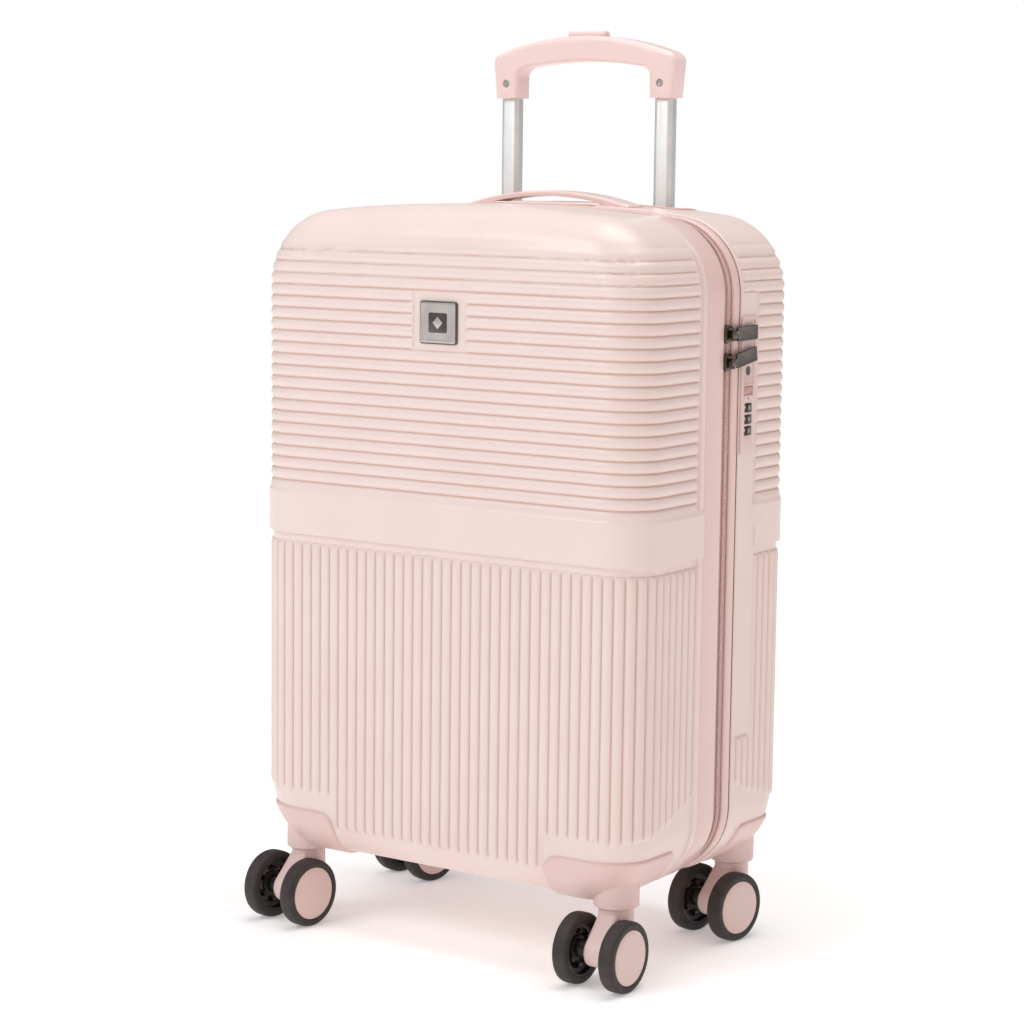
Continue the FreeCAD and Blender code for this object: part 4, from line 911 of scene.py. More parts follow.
class SuitcaseColours(bpy.types.PropertyGroup):
    shell: colour_property("Shell", "Ribbed shells", "#f0dcd6")
    # clouding tone of the shells, and the painted shade in their grooves
    shell_deep: colour_property("Shell, deep", "Colour in the shells' grooves", "#dcbfb2")
    rim: colour_property("Rims", "Strips on either side of the zip", "#ebcbc5")
    rim_deep: colour_property("Rims, deep", "Clouding of the rims", "#e2bfb8")
    guard: colour_property("Guards", "Corner guards and bosses", "#e9cbc5")
    guard_deep: colour_property("Guards, deep", "Clouding of the guards", "#d8b2aa")
    fork: colour_property("Forks", "Twin wheel forks", "#f3d6d2")
    grip: colour_property("Grip", "Trolley grip", "#f5dad6")
    grip_deep: colour_property("Grip, deep", "Clouding of the grip", "#eac6c1")
    cap: colour_property("Wheel caps", "Domed covers of the wheels", "#e3c8c0")
    cap_deep: colour_property("Wheel caps, deep", "Clouding of the caps", "#d4b2a9")
    lock_plate: colour_property("Lock plate", "Face plate of the lock", "#e6ccc6")
    button: colour_property("Lock button", "Release button of the lock", "#c4908a")
    button_deep: colour_property("Lock button, deep", "Clouding of the button", "#a8736d")
    dial: colour_property("Dials", "Number wheels", "#3c3533")
    tape: colour_property("Zip tape", "Woven tape", "#e4c3bc")
    # mottle of the tape, coil and thread, and the painted shade between the tape's threads
    tape_deep: colour_property("Zip tape, deep", "Gaps between the tape's threads", "#c9a199")
    coil: colour_property("Zip coil", "Coil and thread of the zip", "#e8c9c2")
    lining: colour_property("Lining", "Fabric inside the case", "#cfc4c2")
    # mottle of the lining, and the painted shade between its threads
    lining_deep: colour_property("Lining, deep", "Gaps between the lining's threads", "#a79b99")
    pull: colour_property("Zip pulls", "Sliders and pulls", "#776d68")
    pull_deep: colour_property("Zip pulls, deep", "Haze on the pulls", "#4d4745")
    tyre: colour_property("Tyres", "Wheel treads", "#2f2927")
    tyre_dust: colour_property("Tyre dust", "Dust on the treads", "#4b4340")
    core: colour_property("Wheel cores", "Spoked cores of the wheels", "#1f1b1a")


# ---- shells -----------------------------------------------------------------------------
POCKET_X, POCKET_Y, POCKET_D = 49.5, 40.4, 14.6     # finger pocket under the carry handle
WELL_Y0, WELL_Y1, WELL_CUT_X = 67.4, 100.3, 95.0


def finger_cup(material):
    """Moulded cup of the finger pocket: a soft lip over the shell, straight walls, round floor."""
    def ring(grow, z):
        corner = max(2.0, 6.0 + grow)
        points = rounded_outline(POCKET_X - 1.5 + grow, POCKET_D - 0.6 + grow, corner, 8)
        return [(x, MID_Y + POCKET_Y + y, TOP - x * x / (2 * CROWN_R) + z) for x, y in points]

    rings = [ring(2.2, -0.6), ring(2.2, 0.15), ring(1.7, 0.5), ring(0.9, 0.6), ring(0.2, 0.3), ring(0.0, -0.5),
             ring(-0.3, -12.0), ring(-1.0, -14.2), ring(-2.6, -15.6), ring(-4.6, -16.0)]
    piece = new_object("finger_pocket", loft("finger_pocket", rings, cap_start=False))
    paint(piece, material)
    with_wall(piece, 0.9, 1)
    return finish_piece(piece, "rear_case", "shell_plastic")


class SUITCASE_OT_shells(bpy.types.Operator):
    """Mould both ribbed halves of the case and the finger pocket"""
    bl_idname = "suitcase.shells"
    bl_label = "Shells"

    def execute(self, context):
        sizes = context.scene.suitcase_sizes
        look = finishes()
        tree = rib_tree()
        holes = [((-POCKET_X, MID_Y + 26, TOP - 20), (POCKET_X, MID_Y + 55, TOP + 5)),
                 ((-WELL_CUT_X, MID_Y + WELL_Y0, TOP - 30), (WELL_CUT_X, MID_Y + WELL_Y1, TOP + 5)),
                 ((HALF_W - 8, LOCK_LOW.y + 1.6, LOCK_LOW.z + 4.5), (HALF_W + 5, LOCK_HIGH.y - 1.6, LOCK_HIGH.z - 4.5))]
        for side, name, body in ((-1, "front_shell", "lid"), (1, "rear_shell", "rear_case")):
            mesh = half_skin(side, sizes)
            if side > 0:
                cut_holes(mesh, holes)
            set_fields(mesh, rib_fields(mesh_points(mesh), side, sizes))
            piece = new_object(name + "_look", mesh)
            run_tree(piece, tree, {"Pitch": sizes.rib_pitch * 1000, "Depth": sizes.rib_depth * 1000,
                                   "Fullness": sizes.rib_fullness, "Finish": look["shell"]})
            for label in ("across", "ends", "level", "step"):
                piece.data.attributes.remove(piece.data.attributes[label])
            with_wall(piece, sizes.wall * 1000)
            piece.data.shade_smooth()
            piece.data.set_sharp_from_angle(angle=math.radians(55))
            finish_piece(piece, body, "shell_plastic", name)
        finger_cup(look["shell"])
        return {"FINISHED"}


# ---- rims, zip and hinge ----------------------------------------------------------------
def rim_section(y0, y1, crown):
    """Section of a rim strip: domed outside, rounded shoulders, plain inside."""
    wide = y1 - y0
    dome = [(0.0, 3.2), (0.0, 2.3), (0.3, 1.6), (1.1, 1.15)]
    outer = [(y0 + a, b) for a, b in dome]
    for share in (0.12, 0.25, 0.38, 0.5, 0.62, 0.75, 0.88):
        outer.append((y0 + 1.1 + share * (wide - 2.2), 1.15 - crown * (1 - (2 * share - 1) ** 2)))
    outer += [(y1 - a, b) for a, b in reversed(dome)]
    tuck = [(y1, 2.75), (y1 + 2.2, 2.75), (y1 + 2.2, 3.3)] if y0 > 0 else []
    under = [(y0 - 2.2, 3.3), (y0 - 2.2, 2.75), (y0, 2.75)] if y0 < 0 else []
    return under + outer[1:] + [(y1, 3.3)] if under else outer[:-1] + tuck


class SUITCASE_OT_rims(bpy.types.Operator):
    """Run the convex rim strips round both halves"""
    bl_idname = "suitcase.rims"
    bl_label = "Rims"

    def execute(self, context):
        look = finishes()
        for name, body, crown in (("front_rim", "lid", 0.75), ("rear_rim", "rear_case", 0.45)):
            low, high = frame_box(name)
            section = rim_section(low.y - MID_Y, high.y - MID_Y, crown)
            piece = new_object(name + "_look", sweep_outline(name, section, outline_loop(), True))
            finish_piece(paint(piece, look["rim"]), body, "rim_plastic", name)
        return {"FINISHED"}


def row_tree():
    """Small rounded bars set in a row along an edge, each lying across or along it."""
    tree = new_tree("Row of bars", [("Pitch", "NodeSocketFloat"), ("Bar", "NodeSocketVector"),
                                    ("Finish", "NodeSocketMaterial")])
    given = tree.nodes.new("NodeGroupInput")
    curve = add_node(tree, "GeometryNodeMeshToCurve", {"Mesh": given.outputs["Geometry"]})
    points = add_node(tree, "GeometryNodeResampleCurve", {"Curve": curve.outputs["Curve"],
                                                          "Length": given.outputs["Pitch"]}, mode="LENGTH")
    outward = add_node(tree, "GeometryNodeInputNamedAttribute", {"Name": "outward"}, data_type="FLOAT_VECTOR")
    turn = add_node(tree, "FunctionNodeAlignRotationToVector", {"Vector": outward.outputs[0]},
                    axis="Z", pivot_axis="Y")
    cube = add_node(tree, "GeometryNodeMeshCube", {"Size": given.outputs["Bar"]})
    round_bar = add_node(tree, "GeometryNodeSubdivisionSurface", {"Mesh": cube.outputs["Mesh"], "Level": 1})
    soft = add_node(tree, "GeometryNodeSetShadeSmooth", {"Geometry": round_bar.outputs["Mesh"]})
    row = add_node(tree, "GeometryNodeInstanceOnPoints",
                   {"Points": points.outputs["Curve"], "Instance": soft.outputs["Geometry"],
                    "Rotation": turn.outputs["Rotation"]})
    end_tree(tree, row.outputs["Instances"], given.outputs["Finish"])
    return tree


def bar_row(name, tree, y, inset, pitch, bar, material, shift=0.0):
    """A row of bars round the case at depth y, from one end of the hinge to the other."""
    places = loop_from_hinge()
    if shift:
        places[0] = ("left", places[0][1] - shift)
    points = [skin_point(place, y, inset, 1) for place in places]
    mesh = bpy.data.meshes.new(name)
    mesh.from_pydata(points, [(i, i + 1) for i in range(len(points) - 1)], [])
    layer = mesh.attributes.new("outward", "FLOAT_VECTOR", "POINT")
    for item, place in zip(layer.data, places):
        x, z, nx, nz = outline_point(place)
        item.vector = (nx, 0.0, nz)
    piece = new_object(name, mesh)
    return run_tree(piece, tree, {"Pitch": pitch, "Bar": bar, "Finish": material})


class SUITCASE_OT_zip(bpy.types.Operator):
    """Lay the zip's woven tapes with their coil and stitches"""
    bl_idname = "suitcase.zip"
    bl_label = "Zip"

    def execute(self, context):
        sizes = context.scene.suitcase_sizes
        look = finishes()
        tree = row_tree()
        for side, end, body in ((-1, "front", "lid"), (1, "rear", "rear_case")):
            node = end + "_zip_tape"
            low, high = frame_box(node)
            y0, y1 = low.y - MID_Y, high.y - MID_Y
            top, back = 3.6, 4.3
            rib = ZIP_Y - MID_Y + side * 2.9
            section = [(y0, top), (rib - 0.5, top), (rib, top - 0.25), (rib + 0.5, top), (y1, top), (y1, back), (y0, back)]
            tape = new_object(node + "_look", sweep_outline(node, section, loop_from_hinge(), False))
            finish_piece(paint(tape, look["tape"]), body, "zip_fabric", node)
            places = loop_from_hinge()
            pitch = sizes.tooth_pitch * 1000
            coil = bar_row(end + "_zip_coil", tree, ZIP_Y - MID_Y + side * 0.85, 2.95, pitch,
                           (pitch * 0.78, 2.5, 1.7), look["coil"], shift=pitch / 2 if side > 0 else 0.0)
            finish_piece(coil, body, "zip_fabric")
            seam = bar_row(end + "_zip_stitches", tree, ZIP_Y - MID_Y + side * 4.6, 3.5,
                           sizes.stitch_pitch * 1000, (2.6, 0.7, 0.6), look["thread"])
            finish_piece(seam, body, "zip_fabric")
        return {"FINISHED"}


class SUITCASE_OT_hinge(bpy.types.Operator):
    """Lay the woven hinge tape between the lid and the case"""
    bl_idname = "suitcase.hinge"
    bl_label = "Fabric hinge"

    def execute(self, context):
        low, high = frame_box("hinge_tape")
        columns, rows = 28, 60
        grid, runs = [], []
        for r in range(rows + 1):
            for c in range(columns + 1):
                share = c / columns
                y = low.y + share * (high.y - low.y)
                x = low.x + 0.2 - 0.5 * math.sin(math.pi * share) ** 2
                grid.append((x, y, low.z + (high.z - low.z) * r / rows))
                runs.append((r / rows * (high.z - low.z), share * (high.y - low.y)))
        faces = [(r * (columns + 1) + c, (r + 1) * (columns + 1) + c, (r + 1) * (columns + 1) + c + 1,
                  r * (columns + 1) + c + 1) for r in range(rows) for c in range(columns)]
        mesh = mesh_from("hinge_tape", grid, faces)
        layer = mesh.uv_layers.new(name="Run")
        for loop in mesh.loops:
            layer.data[loop.index].uv = runs[loop.vertex_index]
        piece = paint(new_object("hinge_tape_look", mesh), finishes()["tape"])
        with_wall(piece, 0.8, 0)
        finish_piece(piece, None, "zip_fabric", "hinge_tape")
        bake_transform(piece)
        return {"FINISHED"}


class SUITCASE_OT_linings(bpy.types.Operator):
    """Line both halves with woven polyester"""
    bl_idname = "suitcase.linings"
    bl_label = "Linings"

    def execute(self, context):
        look = finishes()
        for node, body in (("front_lining", "lid"), ("rear_lining", "rear_case")):
            bm = bmesh.new()
            bm.from_mesh(frame["nodes"][node].data)
            bmesh.ops.scale(bm, vec=(1000, 1000, 1000), verts=bm.verts)
            bmesh.ops.remove_doubles(bm, verts=bm.verts, dist=0.003)
            for _ in range(5):
                long_edges = [e for e in bm.edges if e.calc_length() > 16]
                bmesh.ops.subdivide_edges(bm, edges=long_edges, cuts=1, use_grid_fill=False)
                bmesh.ops.triangulate(bm, faces=bm.faces)
            middle = Vector((0, MID_Y, MID_Z))
            for vert in bm.verts:
                soft = noise.noise_vector(vert.co / 34.0) * 0.45
                vert.co = middle + (vert.co - middle) * 0.9945 + soft
            bm.normal_update()
            layer = bm.loops.layers.uv.new("Run")
            for face in bm.faces:
                way = max(range(3), key=lambda i: abs(face.normal[i]))
                one, two = [i for i in range(3) if i != way]
                for loop in face.loops:
                    loop[layer].uv = (loop.vert.co[one], loop.vert.co[two])
            mesh = bpy.data.meshes.new(node)
            bm.to_mesh(mesh)
            bm.free()
            mesh.shade_smooth()
            mesh.set_sharp_from_angle(angle=math.radians(60))
            piece = paint(new_object(node + "_look", mesh), look["lining"])
            finish_piece(piece, body, "lining_fabric", node)
        return {"FINISHED"}


# ---- casters ----------------------------------------------------------------------------
GUARD_H = 37.0
GUARD_RUN_X = 79.5
GUARD_RUN_Y = 68.0
GUARD_CORNER = 14.0
SUNK = 1.9              # shell beside the guards lies this far below the ribs' tops
BOSS_R = 17.0


def form_floor(x, y):
    """Height of the case's underside at a place near a lower corner."""
    depth = abs(y - MID_Y)
    inset = EDGE_R - math.sqrt(max(0.0, EDGE_R ** 2 - max(0.0, depth - EDGE_Y) ** 2))
    beside = max(0.0, abs(x) - CORNER_X)
    return LOW_Z - math.sqrt(max(0.0, (CORNER_R - inset) ** 2 - beside ** 2))


def inside_guard(x, y, z):
    """Distance inside the guard's border, which has rounded corners."""
    def corner(a, b, radius):
        if a < radius and b < radius:
            return radius - math.hypot(radius - a, radius - b)
        return min(a, b)

    up = GROUND + GUARD_H - z
    across = abs(x) - (HALF_W - GUARD_RUN_X)
    along = abs(y - MID_Y) - (HALF_D - GUARD_RUN_Y)
    return min(corner(across, up, GUARD_CORNER), corner(along, up, GUARD_CORNER / 2))


def guard_skin(side_x, side_y):
    """Corner guard: a skin that hugs the case's lower corner and turns down at its border."""
    hand = "right" if side_x > 0 else "left"
    top = math.asin((CORNER_R - GUARD_H) / CORNER_R)
    fine = [top - 0.04, top - 0.02, top - 0.005, top + 0.008, top + 0.02, top + 0.035, top + 0.055]
    turns = fine + [top + 0.055 + (math.pi / 2 - top - 0.055) * i / 62 for i in range(1, 63)]
    places = [("low_" + hand, a) for a in turns]
    inner = HALF_W - GUARD_RUN_X
    xs = [CORNER_X - (CORNER_X - inner - 3) * i / 14 for i in range(1, 15)]
    xs += [inner + d for d in (2.2, 1.5, 0.9, 0.4, 0.0, -0.5, -1.0)]
    places += [("floor", side_x * x) for x in xs]
    start = HALF_D - GUARD_RUN_Y
    steps = [(start + d, 0.0) for d in (-1.0, -0.5, 0, 0.4, 0.9, 1.5, 2.2, 3, 4.5, 6, 8)]
    steps += [(start + 8 + (EDGE_Y - start - 8) * i / 14, 0.0) for i in range(1, 15)]
    for i in range(1, 49):
        turn = math.pi / 2 * i / 48
        steps.append((EDGE_Y + EDGE_R * math.sin(turn), EDGE_R * (1 - math.cos(turn))))
    steps += [(HALF_D, EDGE_R + 0.7 * i) for i in range(1, 8)]
    rows = []
    for place in places:
        x0, z0, nx, nz = outline_point(place)
        row = []
        for y, inset in steps:
            point = Vector(skin_point(place, y, inset, side_y))
            turn = math.asin(min(1.0, max(0.0, (y - EDGE_Y) / EDGE_R)))
            if inset > EDGE_R:
                turn = math.pi / 2
            normal = Vector((nx * math.cos(turn), side_y * math.sin(turn), nz * math.cos(turn)))
            border = inside_guard(*point)
            rise = min(1.0, max(0.0, border / 1.8))
            lift = -SUNK - 0.9 + (SUNK + 1.2) * math.sqrt(1 - (1 - rise) ** 2) + min(0.0, border)
            row.append((point + normal * lift, border))
        rows.append(row)
    width = len(steps)
    points = [p for row in rows for p, _ in row]
    border = [b for row in rows for _, b in row]
    faces = []
    for r in range(len(rows) - 1):
        for c in range(width - 1):
            face = (r * width + c, r * width + c + 1, (r + 1) * width + c + 1, (r + 1) * width + c)
            if max(border[i] for i in face) > -0.4:
                faces.append(face)
    bm = bmesh.new()
    verts = [bm.verts.new(p) for p in points]
    for face in faces:
        bm.faces.new([verts[i] for i in face])
    bmesh.ops.delete(bm, geom=[v for v in bm.verts if not v.link_faces], context="VERTS")
    bmesh.ops.remove_doubles(bm, verts=bm.verts, dist=0.01)
    face_outwards(bm, Vector((side_x * (CORNER_X - 20), MID_Y + side_y * (EDGE_Y - 30), LOW_Z + 30)))
    mesh = bpy.data.meshes.new("guard")
    bm.to_mesh(mesh)
    bm.free()
    mesh.shade_smooth()
    return mesh


def boss_mesh(x, y, bottom):
    """Round boss under a guard; its top follows the case."""
    def ring(radius, height=None):
        points = []
        for i in range(72):
            angle = 2 * math.pi * i / 72
            px, py = x + radius * math.cos(angle), y + radius * math.sin(angle)
            points.append((px, py, form_floor(px, py) - 0.3 if height is None else height))
        return points

    foot = min(form_floor(x - math.copysign(BOSS_R, x), y), GROUND + 1.0) - bottom
    rings = [ring(4.2, bottom), ring(14.6, bottom), ring(BOSS_R - 0.7, bottom + min(1.2, foot * 0.45))]
    rings += [ring(BOSS_R, bottom + min(2.0, foot * 0.7)), ring(BOSS_R), ring(12.0), ring(4.2)]
    return loft("boss", rings, angle=30)


class SUITCASE_OT_guards(bpy.types.Operator):
    """Mould the four corner guards with their caster bosses"""
    bl_idname = "suitcase.guards"
    bl_label = "Corner guards"

    def execute(self, context):
        look = finishes()
        for name in CORNERS:
            side_x = 1 if name.endswith("right") else -1
            side_y = 1 if name.startswith("rear") else -1
            skin = new_object("guard_skin", guard_skin(side_x, side_y))
            with_wall(skin, 1.1)
            swivel = hinge_place("swivel_" + name)
            node = "caster_housing_" + name
            boss = boss_mesh(swivel.x, swivel.y, frame_box(node)[0].z)
            skin_mesh = skin.data
            bpy.data.objects.remove(skin)
            piece = paint(join_meshes("corner_guard_" + name, [skin_mesh, boss]), look["guard"])
            finish_piece(piece, "rear_case" if side_y > 0 else "lid", "caster_plastic", node)
        return {"FINISHED"}


class SUITCASE_OT_casters(bpy.types.Operator):
    """Fit the forks, axles and kingpins"""
    bl_idname = "suitcase.casters"
    bl_label = "Forks and pins"

    def execute(self, context):
        look = finishes()
        for name in CORNERS:
            carry_over("caster_fork_" + name, "fork_" + name, "caster_plastic", look["fork"], 0.5)
            carry_over("caster_axle_" + name, "fork_" + name, "steel", look["steel"], 0.3)
        carry_over("front_kingpins", "lid", "steel", look["steel"], 0.3)
        carry_over("rear_kingpins", "rear_case", "steel", look["steel"], 0.3)
        return {"FINISHED"}


# profiles of a wheel as (along its axle, radius), its inner face at 0
TYRE_PROFILE = [(0.5, 20.9), (0.1, 21.6), (0.0, 23.4), (0.25, 25.0), (1.0, 26.0), (2.3, 26.5), (4.0, 26.6),
                (8.5, 26.6), (10.2, 26.5), (11.5, 26.0), (12.25, 25.0), (12.5, 23.6), (12.4, 21.8), (12.0, 20.9)]
RIM_PROFILE = [(0.9, 19.2), (0.6, 19.8), (0.5, 20.6), (1.0, 20.95), (11.6, 20.95), (11.9, 20.7), (11.7, 20.2),
               (8.0, 19.4), (7.6, 15.3), (7.2, 14.9), (5.3, 14.9), (4.9, 15.3), (4.6, 18.6)]
HUB_PROFILE = [(-4.75, 3.15), (-4.75, 4.6), (-4.4, 5.0), (0.6, 6.6), (1.2, 7.0), (4.6, 7.2), (5.0, 9.6), (5.3, 9.9),
               (7.2, 9.9), (7.5, 9.6), (7.8, 7.2), (9.6, 7.0), (10.0, 6.6), (10.0, 3.15)]
CAP_PROFILE = [(10.6, 0.0), (10.6, 19.2), (7.6, 19.4), (7.6, 20.3), (11.9, 20.5), (12.35, 20.35), (12.6, 19.9),
               (12.62, 19.3), (12.5, 19.0), (12.72, 18.6), (13.0, 15.6), (13.3, 11.5), (13.5, 7.0), (13.62, 3.0),
               (13.65, 0.0)]


def spoke_tree():
    """Spokes set in a ring between a wheel's hub and rim, joined to the turned core."""
    tree = new_tree("Ring of spokes", [("Count", "NodeSocketInt"), ("Middle radius", "NodeSocketFloat"),
                                       ("Spoke", "NodeSocketVector"), ("Along", "NodeSocketFloat"),
                                       ("Finish", "NodeSocketMaterial")])
    given = tree.nodes.new("NodeGroupInput")
    ring = add_node(tree, "GeometryNodeMeshCircle", {"Vertices": given.outputs["Count"],
                                                     "Radius": given.outputs["Middle radius"]})
    place = add_node(tree, "GeometryNodeInputPosition").outputs["Position"]
    turn = add_node(tree, "FunctionNodeAlignRotationToVector", {"Vector": place}, axis="X", pivot_axis="Z")
    cube = add_node(tree, "GeometryNodeMeshCube", {"Size": given.outputs["Spoke"]})
    spokes = add_node(tree, "GeometryNodeInstanceOnPoints",
                      {"Points": ring.outputs["Mesh"], "Instance": cube.outputs["Mesh"],
                       "Rotation": turn.outputs["Rotation"]})
    shift = add_node(tree, "ShaderNodeCombineXYZ", {"X": given.outputs["Along"]})
    upright = add_node(tree, "GeometryNodeTransform",
                       {"Geometry": spokes.outputs["Instances"], "Translation": shift.outputs["Vector"],
                        "Rotation": (0.0, math.pi / 2, 0.0)})
    both = add_node(tree, "GeometryNodeJoinGeometry")
    tree.links.new(upright.outputs["Geometry"], both.inputs["Geometry"])
    tree.links.new(given.outputs["Geometry"], both.inputs["Geometry"])
    end_tree(tree, both.outputs["Geometry"], given.outputs["Finish"])
    return tree


class SUITCASE_OT_wheels(bpy.types.Operator):
    """Turn the eight wheels: tyre, spoked core and domed cap"""
    bl_idname = "suitcase.wheels"
    bl_label = "Wheels"

    def execute(self, context):
        look = finishes()
        tree = spoke_tree()
        spokes = context.scene.suitcase_sizes.spokes
        half_gap = 27.5 / 2
        for name in CORNERS:
            side_x = 1 if name.endswith("right") else -1
            for place, way in (("outer", side_x), ("inner", -side_x)):
                joint = [j for j in frame["joints"] if j["name"] == "spin_%s_%s" % (name, place)][0]
                axis = Vector(joint["axis"]).normalized()
                if axis.x * way < 0:
                    axis = -axis
                turn = Vector((1, 0, 0)).rotation_difference(axis).to_matrix().to_4x4()
                if way < 0:
                    turn = Matrix.Rotation(math.atan2(axis.y, axis.x), 4, "Z")
                seat = Matrix.Translation(Vector(joint["pos_m"]) * 1000) @ turn @ Matrix.Translation((half_gap, 0, 0))
                tag = name + "_" + place
                body = "wheel_" + tag
                core_mesh = join_meshes("core", [turned("rim", RIM_PROFILE, 64), turned("hub", HUB_PROFILE, 48)])
                run_tree(core_mesh, tree, {"Count": spokes, "Middle radius": 12.4, "Spoke": (2.3, 4.6, 6.0),
                                           "Along": 6.25, "Finish": look["core"]})
                core_mesh.name = "wheel_core_" + tag
                tyre = paint(new_object("tyre_" + tag, turned("tyre", TYRE_PROFILE, 96)), look["tyre"])
                cap = paint(new_object("wheel_cap_look_" + tag, turned("cap", CAP_PROFILE, 96, closed=False)),
                            look["cap"])
                for piece, slot, node in ((core_mesh, "caster_plastic", ()), (tyre, "tyre_rubber", ("wheel_" + tag,)),
                                          (cap, "cap_plastic", ("wheel_cap_" + tag,))):
                    piece.data.transform(seat)
                    finish_piece(piece, body, slot, *node)
        return {"FINISHED"}


# ---- trolley handle and carry handle ----------------------------------------------------
class SUITCASE_OT_trolley(bpy.types.Operator):
    """Fit the telescopic tubes, the grip with its button and screws, and the well"""
    bl_idname = "suitcase.trolley"
    bl_label = "Trolley handle"

    def execute(self, context):
        look = finishes()
        carry_over("handle_outer_tubes", "rear_case", "tube_aluminium", look["aluminium"], 0.15)
        carry_over("handle_middle_tubes", "handle_middle", "tube_aluminium", look["aluminium"], 0.15)
        carry_over("handle_inner_tubes", "handle_inner", "tube_aluminium", look["aluminium"], 0.15)
        carry_over("grip", "handle_inner", "grip_plastic", look["grip"], 0.35, 40)
        carry_over("grip_screws", "handle_inner", "screw_steel", look["steel"], 0.12)
        carry_over("grip_button", "grip_button", "button_plastic", look["grip"], 0.3)
        carry_over("handle_well", "rear_case", "inner_plastic", look["inner"], 0.45)
        carry_over("handle_base", "rear_case", "inner_plastic", look["inner"], 0.6)
        return {"FINISHED"}


class SUITCASE_OT_carry(bpy.types.Operator):
    """Fit the low carry handle in the top"""
    bl_idname = "suitcase.carry"
    bl_label = "Carry handle"

    def execute(self, context):
        carry_over("carry_handle", "rear_case", "grip_plastic", finishes()["grip"], 0.3, 40)
        return {"FINISHED"}


# ---- lock and zip pulls -----------------------------------------------------------------
def dial_digits(node, radius):
    """Ten raised numbers round a dial, read from outside with the case upright."""
    low, high = frame_box(node)
    centre = (low + high) / 2
    meshes = []
    for digit in range(10):
        curve = bpy.data.curves.new("digit", "FONT")
        curve.body = str(digit)
        curve.size = 4.6
        curve.align_x = "CENTER"
        curve.align_y = "CENTER"
        curve.resolution_u = 2
        curve.extrude = 0.05
        text = new_object("digit", curve)
        context = bpy.context
        context.view_layer.update()
        depsgraph = context.evaluated_depsgraph_get()
        mesh = bpy.data.meshes.new_from_object(text.evaluated_get(depsgraph), depsgraph=depsgraph)
        bpy.data.objects.remove(text)
        angle = 2 * math.pi * digit / 10
        out = Vector((math.cos(angle), math.sin(angle), 0))
        along = Vector((-math.sin(angle), math.cos(angle), 0))
        seat = Matrix((along, Vector((0, 0, 1)), out)).transposed().to_4x4()
        seat.translation = centre + out * (radius + 0.02)
        mesh.transform(seat)
        meshes.append(mesh)
    return meshes


class SUITCASE_OT_lock(bpy.types.Operator):
    """Fit the combination lock: plate, number dials, key plug and release button"""
    bl_idname = "suitcase.lock"
    bl_label = "Lock"

    def execute(self, context):
        look = finishes()
        carry_over("lock_housing", "rear_case", "lock_plastic", look["lock"], 0.25)
        carry_over("key_cylinder", "key_cylinder", "steel", look["gunmetal"], 0.15)
        carry_over("lock_release_button", "lock_release_button", "button_plastic", look["button"], 0.2)
        for number in (1, 2, 3):
            node = "lock_dial_%d" % number
            carry_over(node, node, "dial_plastic", look["dial"], 0.2)
            low, high = frame_box(node)
            numbers = join_meshes(node + "_numbers", dial_digits(node, (high.x - low.x) / 2))
            numbers.data.materials.clear()
            finish_piece(paint(numbers, look["ink"]), node, "dial_plastic")
        return {"FINISHED"}


def sunk_panel(piece, margin, depth):
    """Leave a raised border round the outer flat of a zip pull."""
    bm = bmesh.new()
    bm.from_mesh(piece.data)
    flats = [f for f in bm.faces if f.normal.x > 0.99]
    if not flats:
        raise RuntimeError(piece.name + " has no outer flat")
    face = max(flats, key=lambda f: f.calc_area())
    bmesh.ops.inset_region(bm, faces=[face], thickness=margin, use_even_offset=True)
    inner = bmesh.ops.inset_region(bm, faces=[face], thickness=0.3, depth=-depth, use_even_offset=True)
    bm.to_mesh(piece.data)
    bm.free()
    return len(inner["faces"])


class SUITCASE_OT_pulls(bpy.types.Operator):
    """Fit the two zip sliders and their pulls"""
    bl_idname = "suitcase.pulls"
    bl_label = "Zip pulls"

    def execute(self, context):
        look = finishes()
        for place in ("upper", "lower"):
            carry_over("zip_slider_" + place, "zip_slider_" + place, "zip_metal", look["gunmetal"], 0.35)
            node = "zip_pull_" + place
            pull = from_cad(node, 0.0)
            sunk_panel(pull, 1.3, 0.35)
            bevel = pull.modifiers.new("soft edges", "BEVEL")
            bevel.width = 0.25
            bevel.segments = 2
            bevel.limit_method = "ANGLE"
            bevel.angle_limit = math.radians(35)
            settle(pull)
            pull.data.shade_smooth()
            pull.data.set_sharp_from_angle(angle=math.radians(35))
            finish_piece(paint(pull, look["gunmetal"]), node, "zip_metal", node)
        return {"FINISHED"}


